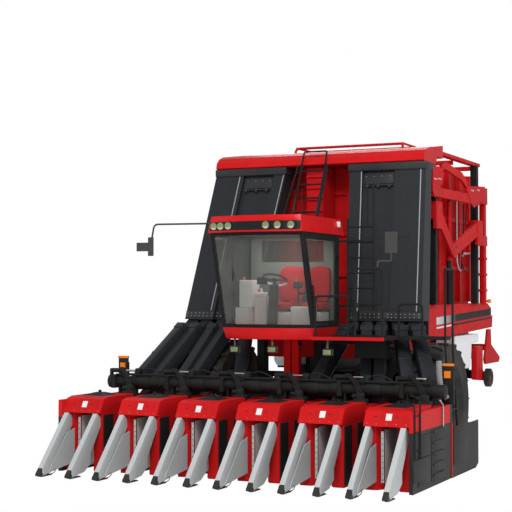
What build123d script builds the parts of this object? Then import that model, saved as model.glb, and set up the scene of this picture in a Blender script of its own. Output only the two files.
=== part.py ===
from build123d import *
import os

# Self-propelled six-row cotton picker that builds its own module, in millimetres.
# +X is the machine's left, -Y its front, +Z up, the ground is Z = 0.
# A station is the distance behind the divider tips, so Y = station + nose_y.

os.makedirs("parts", exist_ok=True)

# Fits and sheet
seat_gap = 0.3
running_fit = 0.05
sheet = 8

# Row units
row_pitch = 965
row_count = 6
row_xs = [(i - (row_count - 1) / 2) * row_pitch for i in range(row_count)]
throat_half = 100
front_half = 326
rear_half = 370
entry_half = 170
entry_station = 860
throat_station = 970
step_station = 1750
rear_station = 2583
unit_bottom = 60
front_top = 930
rear_top = 1110
hood_rise = 232
divider_x = 252
divider_width = 76
divider_top = 928

# Picking rotors, one in the left-hand cabinet of each row
rotor_x = 206
rotor_station = 1300
rotor_bottom = 120
rotor_height = 760
rotor_drum_radius = 58
rotor_bar_radius = 10
rotor_bar_circle = 78
rotor_bar_count = 12
rotor_shaft_radius = 20

# Header end covers and shields
end_x = 2800
end_front_station = 745
end_rear_station = 2557
shield_rear_station = 3970
shield_height = 765

# Toolbar and header lift
toolbar_station = 2150
toolbar_z = 1320
toolbar_radius = 85
lift_pivot_station = 3550
lift_pivot_z = 1300
lift_pin_radius = 40
lift_arm_x = (1000, 1080)
lift_base = (3250, 830)
lift_eye = (2400, 1180)
lift_barrel_radius = 52
lift_rod_radius = 24

# Drive wheels
drive_station = 3720
drive_radius = 975
drive_rim_radius = 533
drive_tyre_width = 520
drive_tyre_xs = (1420, 2200)
drive_spindle_radius = 90
drive_lug = 32
drive_lug_count = 20

# Steered wheels
steer_station = 6900
steer_radius = 660
steer_rim_radius = 330
steer_tyre_width = 480
steer_tyre_x = 1340
kingpin_x = 980
kingpin_radius = 35
steer_spindle_radius = 45
steer_lug = 24
steer_lug_count = 18

# Chassis
rail_x = (420, 560)
rail_z = (1080, 1330)
rail_front_station = 2780
tilt_pivot_station = 7745
tilt_pivot_z = 1600
tilt_pin_radius = 40
leg_x = (1700, 1800)
tilt_base = (5200, 1150)
tilt_eye = (6300, 1525)
tilt_eye_pin = 20
tilt_cylinder_x = (690, 810)
tilt_barrel_radius = 60
tilt_rod_radius = 34
trail_wheel_station = 8030
trail_wheel_radius = 170
trail_wheel_z = 1150

# Cab
cab_half = 770
cab_post_x = (430, 550)
cab_floor_z = 2200
cab_base_z = 2020
cab_eaves_z = 3640
cab_roof_z = 3890
cab_front_bottom = 2230
cab_front_top = 1800
cab_rear = 3250
cab_bow = 120
cab_wall = 40
roof_front = 1738
roof_rear = 3430
roof_lamp_xs = (-660, -530, -390, 240, 420, 620)
roof_lamp_z = 3735
door_hinge_station = 3150
cab_hinge_x = 787
cab_hinge_station = 3145
cab_hinge_pin = 8
door_hinge_zs = (2410, 3300)
pillar = 60

# Platform
deck_z = (2030, 2080)
deck_x = (800, 1950)
deck_stations = (2000, 3020)
walkway_x = 2600
tube_radius = 17
mirror_arm_radius = 14

# Air ducts: x limits at the bottom and at the top of each bank duct
bank_bottom = (3400, 2290)
bank_top = (4240, 4815)
bank_depth_bottom = 400
bank_depth_top = 290
bank_wall = 6
bank_columns = [
    # inner and outer x at the bottom, inner and outer x at the top, recess
    (830, 1010, 572, 785, 0),
    (1012, 1540, 787, 1350, 60),
    (1542, 2065, 1352, 1885, 0),
]
duct_foot = (2270, 2510)
duct_runs = [
    # row from the middle, foot's shift and half width, head's share of its bank, half width
    (0, 100, 75, 0.50, 62),
    (1, 80, 68, 0.27, 66),
    (1, 280, 68, 0.73, 66),
    (2, -190, 76, 0.25, 70),
    (2, 160, 76, 0.75, 70),
]
duct_head_depth = (100, 200)
duct_head_z = 2330

# Chamber
chamber_half = 1300
chamber_wall = 20
chamber_stations = (4900, 8700)
chamber_floor_z = (1620, 1700)
chamber_top_z = 4980
panel_x = 1800
panel_top_z = 2534
post_size = 120
post_stations = (5000, 7530)
post_tops = (4700, 5078)
hood_half = 1870
door_hinge = (8770, 1640)
rear_door_top = 4400

# The rear wedges reach furthest back; the part is centred on its length
wedge_overhang = 500
overall_length = chamber_stations[1] + wedge_overhang
nose_y = -overall_length / 2


def y_at(station):
    return station + nose_y


def block(x, stations, z, mode=Mode.ADD):
    centre = ((x[0] + x[1]) / 2, y_at((stations[0] + stations[1]) / 2), (z[0] + z[1]) / 2)
    with Locations(centre):
        Box(x[1] - x[0], stations[1] - stations[0], z[1] - z[0], mode=mode)


def side_profile(x, points, mode=Mode.ADD):
    """Closed outline of (station, z) points, extruded from x[0] to x[1]."""
    with BuildSketch(Plane.YZ.offset(x[0])) as outline:
        with BuildLine():
            Polyline(*[(y_at(s), z) for s, z in points], close=True)
        make_face()
    extrude(outline.sketch, amount=x[1] - x[0], mode=mode)


def bar(start, end, radius, mode=Mode.ADD):
    """Round bar between two (x, station, z) points."""
    a = Vector(start[0], y_at(start[1]), start[2])
    b = Vector(end[0], y_at(end[1]), end[2])
    with BuildSketch(Plane(origin=a, z_dir=b - a)) as section:
        Circle(radius)
    extrude(section.sketch, amount=(b - a).length, mode=mode)


def tube_run(points, bend, radius):
    """Bent round tube along (x, station, z) points."""
    corners = [(x, y_at(s), z) for x, s, z in points]
    with BuildLine() as path:
        if len(corners) > 2:
            FilletPolyline(*corners, radius=bend)
        else:
            Line(*corners)
    with BuildSketch(Plane(origin=path.line @ 0, z_dir=path.line % 0)) as section:
        Circle(radius)
    sweep(section.sketch, path=path.line)


def save(part, name):
    part.label = name
    export_step(part, f"parts/{name}.step")


def both_sides(x):
    """The x limits on the left side and their mirror on the right."""
    return [x, (-x[1], -x[0])]


# Row cabinets: a folded sheet box each side of every throat, open below
def cabinet_outline(side, first_station, inset):
    s = side
    t, f, r = throat_half + inset, front_half - inset, rear_half - inset
    if first_station < step_station:
        slope = inset * 0.6
        return [
            (s * t, throat_station + slope),
            (s * (entry_half + slope), entry_station + inset),
            (s * f, entry_station + inset),
            (s * f, step_station + inset),
            (s * r, step_station + inset),
            (s * r, rear_station - inset),
            (s * t, rear_station - inset),
        ]
    return [
        (s * t, step_station + inset),
        (s * r, step_station + inset),
        (s * r, rear_station - inset),
        (s * t, rear_station - inset),
    ]


with BuildPart() as row_cabinets:
    for row in row_xs:
        for side in (-1, 1):
            for first, bottom, top in (
                (entry_station, unit_bottom, front_top),
                (step_station, front_top - sheet, rear_top),
            ):
                with BuildSketch(Plane.XY.offset(bottom)) as skin:
                    with BuildLine():
                        Polyline(*[(row + x, y_at(s)) for x, s in cabinet_outline(side, first, 0)],
                                 close=True)
                    make_face()
                extrude(skin.sketch, amount=top - bottom)
            for first, bottom, top in (
                (entry_station, unit_bottom - 1, front_top - sheet),
                (step_station, front_top - 2 * sheet, rear_top - sheet),
            ):
                with BuildSketch(Plane.XY.offset(bottom)) as hollow:
                    with BuildLine():
                        Polyline(*[(row + x, y_at(s)) for x, s in cabinet_outline(side, first, sheet)],
                                 close=True)
                    make_face()
                extrude(hollow.sketch, amount=top - bottom, mode=Mode.SUBTRACT)
        # window for the spindles and hole for the rotor shaft
        block((row + throat_half - 2, row + throat_half + sheet + 2),
              (rotor_station - 130, rotor_station + 130),
              (rotor_bottom - 20, rotor_bottom + rotor_height - 20), mode=Mode.SUBTRACT)
        bar((row + rotor_x, rotor_station, front_top - 2 * sheet),
            (row + rotor_x, rotor_station, front_top + 1),
            rotor_shaft_radius + running_fit, mode=Mode.SUBTRACT)
save(row_cabinets.part, "row_cabinets")

# Doors: dark panels hung on the outer faces of the cabinets
door_panels = [
    # first station, last station, bottom, top, face
    (880, 1150, 90, 900, front_half),
    (1370, 1735, 90, 900, front_half),
    (1765, 2560, 90, 855, rear_half),
]
with BuildPart() as row_doors:
    for i, row in enumerate(row_xs):
        for side in (-1, 1):
            if (i == 0 and side < 0) or (i == row_count - 1 and side > 0):
                continue
            for first, last, low, high, face in door_panels:
                inner = face + seat_gap
                limits = (inner, inner + 10) if side > 0 else (-inner - 10, -inner)
                block((row + limits[0], row + limits[1]), (first, last), (low, high))
save(row_doors.part, "row_doors")

# Hoods: creased sheet over the front of each unit, with a cap and knob on top
hood_side = [
    (775, front_top + seat_gap),
    (890, 1135),
    (1010, front_top + hood_rise),
    (step_station - seat_gap, front_top + hood_rise),
    (step_station - seat_gap, front_top + seat_gap),
]
hood_hollow = [
    (800, front_top - 1),
    (903, 1127),
    (1014, front_top + hood_rise - sheet),
    (step_station - sheet, front_top + hood_rise - sheet),
    (step_station - sheet, front_top - 1),
]
with BuildPart() as row_hoods:
    for row in row_xs:
        side_profile((row - front_half, row + front_half), hood_side)
        side_profile((row - front_half + sheet, row + front_half - sheet), hood_hollow,
                     mode=Mode.SUBTRACT)
        with BuildSketch(Plane.XY.offset(front_top + hood_rise)) as cap_foot:
            with Locations((row, y_at(1300))):
                Rectangle(420, 460)
        with BuildSketch(Plane.XY.offset(front_top + hood_rise + 45)) as cap_top:
            with Locations((row, y_at(1300))):
                Rectangle(110, 130)
        loft([cap_foot.sketch.face(), cap_top.sketch.face()])
        with Locations((row, y_at(1300), front_top + hood_rise + 60)):
            Cylinder(24, 36)
save(row_hoods.part, "row_hoods")

# Dividers: a ridge that rises from the tip, and a flank plate that leads into the throat
ridge_side = [
    (0, 92),
    (760, divider_top),
    (822, 900),
    (entry_station - seat_gap, 860),
    (entry_station - seat_gap, 740),
    (590, 360),
    (590, 215),
    (420, 110),
    (60, 60),
    (6, 66),
]
flank_side = [(110, 85), (330, 120), (748, 180), (748, 690), (560, 640)]
with BuildPart() as dividers:
    for row in row_xs:
        for side in (-1, 1):
            middle = row + side * divider_x
            side_profile((middle - divider_width / 2, middle + divider_width / 2), ridge_side)
            root_x = divider_x - divider_width / 2 + 10
            start = (row + side * root_x, y_at(entry_station - 750), 0)
            run = Vector(-side * (root_x - entry_half), 748, 0)
            with BuildSketch(Plane(origin=start, x_dir=run, z_dir=run.cross(Vector(0, 0, 1)))) as flank:
                with BuildLine():
                    Polyline(*flank_side, close=True)
                make_face()
            extrude(flank.sketch, amount=5, both=True)
save(dividers.part, "dividers")

# Throat plates: the sprung pressure plate that faces each rotor
with BuildPart() as throat_plates:
    for row in row_xs:
        block((row - 62, row - 56), (1020, 1640), (110, 880))
        block((row - 66, row - 62), (1320, 1360), (110, 880))
        for z in (200, 780):
            block((row - throat_half + seat_gap, row - 66), (1320, 1360), (z, z + 60))
save(throat_plates.part, "throat_plates")

# Picking rotors: a drum with upright spindle bars between two discs
for i, row in enumerate(row_xs):
    with BuildPart() as rotor:
        middle = (row + rotor_x, y_at(rotor_station))
        with Locations((*middle, rotor_bottom + rotor_height / 2)):
            Cylinder(rotor_drum_radius, rotor_height)
        with Locations((*middle, rotor_bottom + 10), (*middle, rotor_bottom + rotor_height - 10)):
            Cylinder(rotor_bar_circle + rotor_bar_radius + 4, 20)
        with Locations((*middle, rotor_bottom + rotor_height / 2)):
            with PolarLocations(rotor_bar_circle, rotor_bar_count):
                Cylinder(rotor_bar_radius, rotor_height - 20)
        bar((row + rotor_x, rotor_station, rotor_bottom - 20),
            (row + rotor_x, rotor_station, front_top + 20), rotor_shaft_radius)
        with Locations((*middle, front_top + seat_gap + 10)):
            Cylinder(rotor_shaft_radius + 16, 20)
    save(rotor.part, f"rotor_{i + 1}")

# Header end covers: moulded side doors with steps, joined to the long rear shields
end_inner = row_xs[-1] + front_half + seat_gap
end_outline = [
    (end_inner, end_front_station + 16),
    (end_x, end_front_station),
    (end_x, end_rear_station),
    (end_x - 16, end_rear_station),
    (end_x - 16, step_station - 40),
    (end_inner, step_station - 40),
]
with BuildPart() as header_ends:
    for side in (-1, 1):
        with BuildSketch(Plane.XY.offset(46)) as cover:
            with BuildLine():
                Polyline(*[(side * x, y_at(s)) for x, s in end_outline], close=True)
            make_face()
        extrude(cover.sketch, amount=1069)
        side_profile(sorted((side * (end_x - 15), side * (end_x - 3))), [
            (end_rear_station - 1, 40), (shield_rear_station - 150, 40), (shield_rear_station, 100),
            (shield_rear_station, shield_height), (end_rear_station - 1, shield_height)])
        for step_z in (180, 330, 480, 630, 780):
            near = side * (end_x - 14)
            block(sorted((near, side * (end_x + 22))), (1640, 2120), (step_z, step_z + 34))
save(header_ends.part, "header_ends")

# Toolbar: the cross tube, with saddles and clamps for the rows and two lift arms bolted on
arm_side = [
    (toolbar_station, 1222),
    (toolbar_station, 1418),
    (lift_pivot_station - 200, 1390),
    (lift_pivot_station, 1362),
    (lift_pivot_station + 62, 1300),
    (lift_pivot_station, 1242),
    (lift_pivot_station - 200, 1235),
    (lift_eye[0] + 190, 1200),
    (lift_eye[0] + 50, lift_eye[1] + 10),
    (lift_eye[0] - 60, lift_eye[1] + 10),
]
with BuildPart() as toolbar:
    for row in row_xs:
        block((row - 190, row + 190), (toolbar_station - 60, toolbar_station + 60),
              (rear_top + seat_gap, rear_top + 24))
        for x in (-150, 126):
            block((row + x, row + x + 24), (toolbar_station - 60, toolbar_station + 60),
                  (rear_top + 20, toolbar_z + 20))
        block((row - 235, row - 175), (toolbar_station - 130, toolbar_station + 105),
              (toolbar_z - 105, toolbar_z + 105))
    for side in (-1, 1):
        limits = sorted((side * lift_arm_x[0], side * lift_arm_x[1]))
        side_profile(limits, arm_side)
        bar((limits[0] - 1, lift_pivot_station, lift_pivot_z),
            (limits[1] + 1, lift_pivot_station, lift_pivot_z),
            lift_pin_radius + running_fit, mode=Mode.SUBTRACT)
        bar((limits[0] - 1, lift_eye[0], lift_eye[1]), (limits[1] + 1, lift_eye[0], lift_eye[1]),
            58, mode=Mode.SUBTRACT)
        bar((limits[0] + 1, lift_eye[0], lift_eye[1]), (limits[1] - 1, lift_eye[0], lift_eye[1]), 22)
        for x in (limits[0], limits[1] - 14):
            side_profile((x, x + 14), [(lift_eye[0] - 60, 1235), (lift_eye[0] + 60, 1235),
                                       (lift_eye[0] + 40, 1140), (lift_eye[0] - 40, 1140)])
    bar((-2700, toolbar_station, toolbar_z), (2700, toolbar_station, toolbar_z),
        toolbar_radius + seat_gap, mode=Mode.SUBTRACT)
    bar((-2650, toolbar_station, toolbar_z), (2650, toolbar_station, toolbar_z), toolbar_radius)
save(toolbar.part, "toolbar")

# Lower ducts: air ducts from each row unit up into its bank
with BuildPart() as lower_ducts:
    for side in (-1, 1):
        for row, shift, foot_half, share, head_half in duct_runs:
            column = bank_columns[row]
            foot_x = side * (row_xs[3 + row] + shift)
            head_x = side * (column[0] + (column[1] - column[0]) * share)
            head_stations = [bank_bottom[0] + column[4] * 0.3 + d for d in duct_head_depth]
            for inset, cut in ((0, Mode.ADD), (5, Mode.SUBTRACT)):
                with BuildSketch(Plane.XY.offset(rear_top + seat_gap - inset * 0.2)) as foot:
                    with Locations((foot_x, y_at((duct_foot[0] + duct_foot[1]) / 2))):
                        Rectangle(2 * (foot_half - inset), duct_foot[1] - duct_foot[0] - 2 * inset)
                with BuildSketch(Plane.XY.offset(duct_head_z + inset * 0.2)) as head:
                    with Locations((head_x, y_at(sum(head_stations) / 2))):
                        Rectangle(2 * (head_half - inset), head_stations[1] - head_stations[0] - 2 * inset)
                loft([foot.sketch.face(), head.sketch.face()], mode=cut)
save(lower_ducts.part, "lower_ducts")

# Marker boards at both ends of the header: an upright board, its top strip and a lens
with BuildPart() as marker_lamps:
    for x in (-2741, 2741):
        block((x - 91, x + 91), (2540, 2556), (1115 + seat_gap, 1664))
        block((x - 94, x + 94), (2526, 2562), (1663, 1700))
        block((x - 45, x + 45), (2506, 2541), (1490, 1590))
        for edge in (-91, 79):
            block((x + edge, x + edge + 12), (2555, 2580), (rear_top + seat_gap, 1600))
save(marker_lamps.part, "marker_lamps")


# Drive wheels: duals on one hub each side, on a fixed spindle
def tyre_section(width, radius, rim_radius, lug):
    """Half-open carcass in the local (axial, radial) plane, below the lugs."""
    half = width / 2
    wall = 42
    tread = radius - lug
    outer = [
        (-half * 0.62, rim_radius),
        (-half * 0.62, rim_radius + 30),
        (-half * 0.94, rim_radius + (radius - rim_radius) * 0.3),
        (-half * 0.98, radius - 110),
        (-half, tread - 40),
        (-half * 0.86, tread - 12),
        (-half * 0.4, tread),
    ]
    inner = [
        (-half * 0.4, tread - wall),
        (-half * 0.84, radius - 120),
        (-half * 0.80, rim_radius + (radius - rim_radius) * 0.3),
        (-half * 0.46, rim_radius),
    ]
    mirrored = [(-a, r) for a, r in reversed(outer)]
    cavity = [(-a, r) for a, r in reversed(inner)]
    return outer + mirrored + cavity + inner


def spun(x, station, z, points, mode=Mode.ADD):
    """Closed (axial, radial) outline spun about an axle along X."""
    with BuildSketch(Plane(origin=(x, y_at(station), z), x_dir=(1, 0, 0), z_dir=(0, -1, 0))) as half:
        with BuildLine():
            Polyline(*points, close=True)
        make_face()
    revolve(half.sketch, axis=Axis((x, y_at(station), z), (1, 0, 0)), mode=mode)


def lugged_tyre(x, station, width, radius, rim_radius, lug, count):
    """A tyre that stands on the ground, with a pair of its lugs at the very bottom."""
    places = []
    for i in range(count):
        for half in (-1, 1):
            places.append(Pos(x, y_at(station), radius) * Rot(360 / count * i, 0, 0)
                          * Pos(half * width * 0.25, 0, lug - radius) * Rot(0, 0, half * 32))
    with BuildPart() as tyre:
        spun(x, station, radius, tyre_section(width, radius, rim_radius, lug))
        with Locations(*places):
            Box(width * 0.5, width * 0.11, 2 * lug)
    return tyre.part


def rim_section(width, rim_radius, disc_x, bore):
    half = width / 2
    r = rim_radius - seat_gap
    seat = half * 0.62 + seat_gap
    lip = seat + 12
    return [
        (-lip, r + 22), (-seat, r + 22), (-seat, r), (seat, r),
        (seat, r + 22), (lip, r + 22), (lip, r - 14), (half * 0.5, r - 30),
        (disc_x + 12, r - 30), (disc_x + 12, bore), (disc_x - 12, bore), (disc_x - 12, r - 30),
        (-half * 0.5, r - 30), (-lip, r - 14),
    ]


trail_section = [
    (-50, 90), (-50, trail_wheel_radius - 24), (-36, trail_wheel_radius),
    (52, trail_wheel_radius), (66, trail_wheel_radius - 24), (66, 90), (30, 70),
    (40, 40), (40, 16 + running_fit), (-50, 16 + running_fit), (-50, 40), (-20, 70),
]
drive_tyre = lugged_tyre(drive_tyre_xs[0], drive_station, drive_tyre_width, drive_radius,
                         drive_rim_radius, drive_lug, drive_lug_count)
steer_tyre = lugged_tyre(steer_tyre_x, steer_station, steer_tyre_width, steer_radius,
                         steer_rim_radius, steer_lug, steer_lug_count)
for side, name in ((1, "left"), (-1, "right")):
    with BuildPart() as drive_tyres:
        for x in drive_tyre_xs:
            shifted = Pos(x - drive_tyre_xs[0], 0, 0) * drive_tyre
            add(shifted if side > 0 else mirror(shifted, about=Plane.YZ, mode=Mode.PRIVATE))
    save(drive_tyres.part, f"drive_tyres_{name}")

    with BuildPart() as drive_rims:
        for x, disc in zip(drive_tyre_xs, (-60, -60)):
            spun(side * x, drive_station, drive_radius,
                 [(side * a, r) for a, r in rim_section(drive_tyre_width, drive_rim_radius, disc, 100)])
        spun(0, drive_station, drive_radius, [
            (side * 1190, drive_spindle_radius + running_fit), (side * 1190, 190), (side * 1260, 190),
            (side * 1260, 150), (side * 2120, 150), (side * 2120, 210), (side * 2200, 210),
            (side * 2240, 130), (side * 2240, 60), (side * 2215, 60),
            (side * 2215, drive_spindle_radius + running_fit)])
        bar((side * 2180, drive_station, drive_radius), (side * 2240, drive_station, drive_radius), 100)
        bar((side * 2160, drive_station, drive_radius), (side * 2205, drive_station, drive_radius),
            drive_spindle_radius + running_fit, mode=Mode.SUBTRACT)
    save(drive_rims.part, f"drive_rims_{name}")

    save(steer_tyre if side > 0 else mirror(steer_tyre, about=Plane.YZ), f"steer_tyre_{name}")

    with BuildPart() as steer_rim:
        spun(side * steer_tyre_x, steer_station, steer_radius,
             [(side * a, r) for a, r in rim_section(steer_tyre_width, steer_rim_radius, 20, 60)])
        spun(0, steer_station, steer_radius, [
            (side * 1180, steer_spindle_radius + running_fit), (side * 1180, 90), (side * 1340, 110),
            (side * 1400, 110), (side * 1420, 80), (side * 1420, steer_spindle_radius + running_fit)])
        bar((side * 1400, steer_station, steer_radius), (side * 1440, steer_station, steer_radius), 70)
        bar((side * 1390, steer_station, steer_radius), (side * 1410, steer_station, steer_radius),
            steer_spindle_radius + running_fit, mode=Mode.SUBTRACT)
    save(steer_rim.part, f"steer_rim_{name}")

    with BuildPart() as knuckle:
        k = side * kingpin_x
        bar((k, steer_station, 540), (k, steer_station, 780), kingpin_radius)
        for low, high in ((510, 545), (775, 810)):
            block(sorted((k - side * 60, k + side * 110)), (steer_station - 70, steer_station + 70),
                  (low, high))
        block(sorted((k + side * 85, k + side * 110)), (steer_station - 70, steer_station + 70),
              (510, 810))
        bar((k + side * 100, steer_station, steer_radius),
            (side * 1404, steer_station, steer_radius), steer_spindle_radius)
        bar((k + side * 100, steer_station, steer_radius),
            (side * 1170, steer_station, steer_radius), 75)
    save(knuckle.part, f"knuckle_{name}")

    with BuildPart() as trail_wheel:
        x = side * 1860
        spun(x, trail_wheel_station, trail_wheel_z, [(side * a, r) for a, r in trail_section])
    save(trail_wheel.part, f"trail_wheel_{name}")

# Front axle: housing across the frame, final drives and the fixed spindles
with BuildPart() as drive_axle:
    block((-900, 900), (drive_station - 130, drive_station + 130), (drive_radius - 130, 1079.7))
    for side in (-1, 1):
        bar((side * 880, drive_station, drive_radius), (side * 1120, drive_station, drive_radius), 220)
        bar((side * 1100, drive_station, drive_radius), (side * 1180, drive_station, drive_radius), 130)
        bar((side * 1100, drive_station, drive_radius), (side * 2178, drive_station, drive_radius),
            drive_spindle_radius)
save(drive_axle.part, "drive_axle")

# Rear axle: beam under the frame with a kingpin boss at each end
with BuildPart() as steer_axle:
    block((-905, 905), (steer_station - 90, steer_station + 90), (590, 740))
    block((-550, 550), (steer_station - 150, steer_station + 150), (740, rail_z[0] - seat_gap))
    for x in (-kingpin_x, kingpin_x):
        with Locations((x, y_at(steer_station), 660)):
            Cylinder(78, 220)
            Cylinder(kingpin_radius + running_fit, 300, mode=Mode.SUBTRACT)
save(steer_axle.part, "steer_axle")

# Chassis frame: rails between a front and a rear beam, with brackets bolted on for the pivots
front_beam = (rail_front_station, rail_front_station + 200)
rear_beam = (7620, 7860)
leg_side = [
    (7480, 1140), (trail_wheel_station + 40, 1090), (trail_wheel_station + 40, 1210),
    (7900, 1300), (7900, 1740), (7560, 1740), (7480, 1660),
]
rail_stations = (front_beam[1] + seat_gap, rear_beam[0] - seat_gap)
bracket_x = rail_x[1] + seat_gap
under_rail = rail_z[0] - seat_gap
with BuildPart() as chassis_frame:
    for side in (-1, 1):
        block(sorted((side * rail_x[0], side * rail_x[1])), rail_stations, rail_z)
        block(sorted((side * (rail_x[0] + 18), side * (rail_x[1] + 1))),
              (rail_stations[0] - 1, rail_stations[1] + 1), (rail_z[0] + 18, rail_z[1] - 18),
              mode=Mode.SUBTRACT)
    block((-640, 640), front_beam, rail_z)
    block((-rail_x[0] + seat_gap, rail_x[0] - seat_gap), (6000, 6160),
          (rail_z[0] + 40, rail_z[1] - 20))
    block((-leg_x[0] + seat_gap, leg_x[0] - seat_gap), rear_beam, (1150, 1300))
    block((-60, 60), (7850, 8080), (1160, 1190))
    with Locations((0, y_at(8030), 1175)):
        Cylinder(17, 60, mode=Mode.SUBTRACT)
    for side in (-1, 1):
        # pivot of the lift arm
        block(sorted((side * bracket_x, side * 640)), (3440, 3660), (1090, 1370))
        bar((side * 600, lift_pivot_station, lift_pivot_z),
            (side * (lift_arm_x[0] - 8), lift_pivot_station, lift_pivot_z), 60)
        bar((side * 960, lift_pivot_station, lift_pivot_z),
            (side * (lift_arm_x[1] + 16), lift_pivot_station, lift_pivot_z), lift_pin_radius)
        bar((side * (lift_arm_x[1] + 8), lift_pivot_station, lift_pivot_z),
            (side * (lift_arm_x[1] + 20), lift_pivot_station, lift_pivot_z), 56)
        # foot of the lift cylinder
        side_profile(sorted((side * 500, side * 540)),
                     [(3120, under_rail), (3380, under_rail), (3330, 790), (3190, 790)])
        bar((side * 500, lift_base[0], lift_base[1]), (side * 980, lift_base[0], lift_base[1]), 45)
        bar((side * 970, lift_base[0], lift_base[1]), (side * 1100, lift_base[0], lift_base[1]), 25)
        # foot of the tilt cylinder
        side_profile(sorted((side * bracket_x, side * 680)),
                     [(5120, 1090), (5290, 1090), (5260, 1200), (5150, 1200)])
        bar((side * 660, tilt_base[0], tilt_base[1]), (side * 830, tilt_base[0], tilt_base[1]), 30)
        # rear leg with the tilt pivot and the trail wheel's axle
        side_profile(sorted((side * leg_x[0], side * leg_x[1])), leg_side)
        bar((side * 1530, tilt_pivot_station, tilt_pivot_z),
            (side * 1720, tilt_pivot_station, tilt_pivot_z), tilt_pin_radius)
        bar((side * 1790, trail_wheel_station, trail_wheel_z),
            (side * 1912, trail_wheel_station, trail_wheel_z), 16)
        bar((side * 1795, trail_wheel_station, trail_wheel_z),
            (side * 1808, trail_wheel_station, trail_wheel_z), 36)
        bar((side * 1901, trail_wheel_station, trail_wheel_z),
            (side * 1912, trail_wheel_station, trail_wheel_z), 30)
save(chassis_frame.part, "chassis_frame")

# Engine: one plain block between the rails
engine_stations = (4750, 5850)
with BuildPart() as engine:
    block((-rail_x[0] + seat_gap, rail_x[0] - seat_gap), engine_stations, (720, 1300))
save(engine.part, "engine")


# Cab: a bowed, forward-leaning body with its windows cut out
def cab_plan(height, inset):
    """Plan outline of the cab at a height, with a bowed front."""
    rise = (height - cab_floor_z) / (cab_eaves_z - cab_floor_z)
    front = cab_front_bottom + (cab_front_top - cab_front_bottom) * rise + inset
    half = cab_half - inset
    with BuildSketch(Plane.XY.offset(height)) as plan:
        with BuildLine():
            ThreePointArc((-half, y_at(front)), (0, y_at(front - cab_bow)), (half, y_at(front)))
            Polyline((half, y_at(front)), (half, y_at(cab_rear - inset)),
                     (-half, y_at(cab_rear - inset)), (-half, y_at(front)))
        make_face()
    return plan.sketch.face()


def cab_front_at(z):
    rise = (z - cab_floor_z) / (cab_eaves_z - cab_floor_z)
    return cab_front_bottom + (cab_front_top - cab_front_bottom) * rise


window_low = cab_floor_z + 50
window_high = cab_eaves_z - 50
side_window = [
    (cab_front_at(window_low) + pillar, window_low),
    (door_hinge_station - 10, window_low),
    (door_hinge_station - 10, window_high),
    (cab_front_at(window_high) + pillar, window_high),
]


def cut_windows():
    """Cuts the windscreen, both side openings and the rear window in the open part."""
    screen_half = cab_half - 55
    side_profile((-screen_half, screen_half), [
        (1000, window_low), (cab_front_at(window_low) + 45, window_low),
        (cab_front_at(window_high) + 45, window_high), (1000, window_high)], mode=Mode.SUBTRACT)
    side_profile((-cab_half - 50, cab_half + 50), side_window, mode=Mode.SUBTRACT)
    block((-560, 560), (cab_rear - 100, cab_rear + 50), (2950, window_high), mode=Mode.SUBTRACT)


with BuildPart() as cab_frame:
    loft([cab_plan(cab_floor_z, 0), cab_plan(cab_eaves_z, 0)])
    loft([cab_plan(cab_floor_z - 1, cab_wall), cab_plan(cab_eaves_z + 1, cab_wall)],
         mode=Mode.SUBTRACT)
    cut_windows()
    # door hinges: a pin under a cap on the rear pillar
    for z in door_hinge_zs:
        block((cab_half - 2, cab_hinge_x + 8), (cab_hinge_station + 15, cab_hinge_station + 45),
              (z - 5, z + 55))
        block((cab_hinge_x - 8, cab_hinge_x + 8), (cab_hinge_station - 8, cab_hinge_station + 20),
              (z + 45, z + 55))
        with Locations((cab_hinge_x, y_at(cab_hinge_station), z + 23)):
            Cylinder(cab_hinge_pin, 46)
save(cab_frame.part, "cab_frame")

# Glass: windscreen, right side and rear panes, set in the middle of the frame
with BuildPart() as cab_glass:
    loft([cab_plan(window_low + seat_gap, 14), cab_plan(window_high - seat_gap, 14)])
    loft([cab_plan(window_low + seat_gap - 0.1, 20), cab_plan(window_high - seat_gap + 0.1, 20)],
         mode=Mode.SUBTRACT)
    # leave only the panes: remove the pillars' stretches and the door side
    glass_half = cab_half - 55 - seat_gap
    block((cab_half - 60, cab_half + 10), (1500, cab_rear + 20), (window_low - 10, window_high + 10),
          mode=Mode.SUBTRACT)
    for limits in ((-cab_half - 10, -glass_half), (glass_half, cab_half + 10)):
        side_profile(limits, [
            (cab_front_at(window_low) - 80, window_low - 10),
            (cab_front_at(window_low - 10) + pillar + 1, window_low - 10),
            (cab_front_at(window_high + 10) + pillar + 1, window_high + 10),
            (cab_front_at(window_high) - 80, window_high + 10)], mode=Mode.SUBTRACT)
    block((-cab_half - 10, -560 + seat_gap), (door_hinge_station - 10.3, cab_rear + 20),
          (window_low - 10, window_high + 10), mode=Mode.SUBTRACT)
    block((560 - seat_gap, cab_half + 10), (cab_rear - 60, cab_rear + 20),
          (window_low - 10, window_high + 10), mode=Mode.SUBTRACT)
    block((-600, 600), (cab_rear - 60, cab_rear + 20), (window_low - 10, 2950.3), mode=Mode.SUBTRACT)
save(cab_glass.part, "cab_glass")

# Cab base: the red band and floor under the windows
base_half = cab_half - 50
with BuildPart() as cab_base:
    with BuildSketch(Plane.XY.offset(cab_base_z)) as plan:
        with BuildLine():
            ThreePointArc((-base_half, y_at(2260)), (0, y_at(2130)), (base_half, y_at(2260)))
            Polyline((base_half, y_at(2260)), (base_half, y_at(cab_rear)),
                     (-base_half, y_at(cab_rear)), (-base_half, y_at(2260)))
        make_face()
    loft([plan.sketch.face(), cab_plan(cab_floor_z - seat_gap, 0)])
    loft([cab_plan(cab_base_z + 40, 60), cab_plan(cab_floor_z - 20, 60)], mode=Mode.SUBTRACT)
save(cab_base.part, "cab_base")

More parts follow.
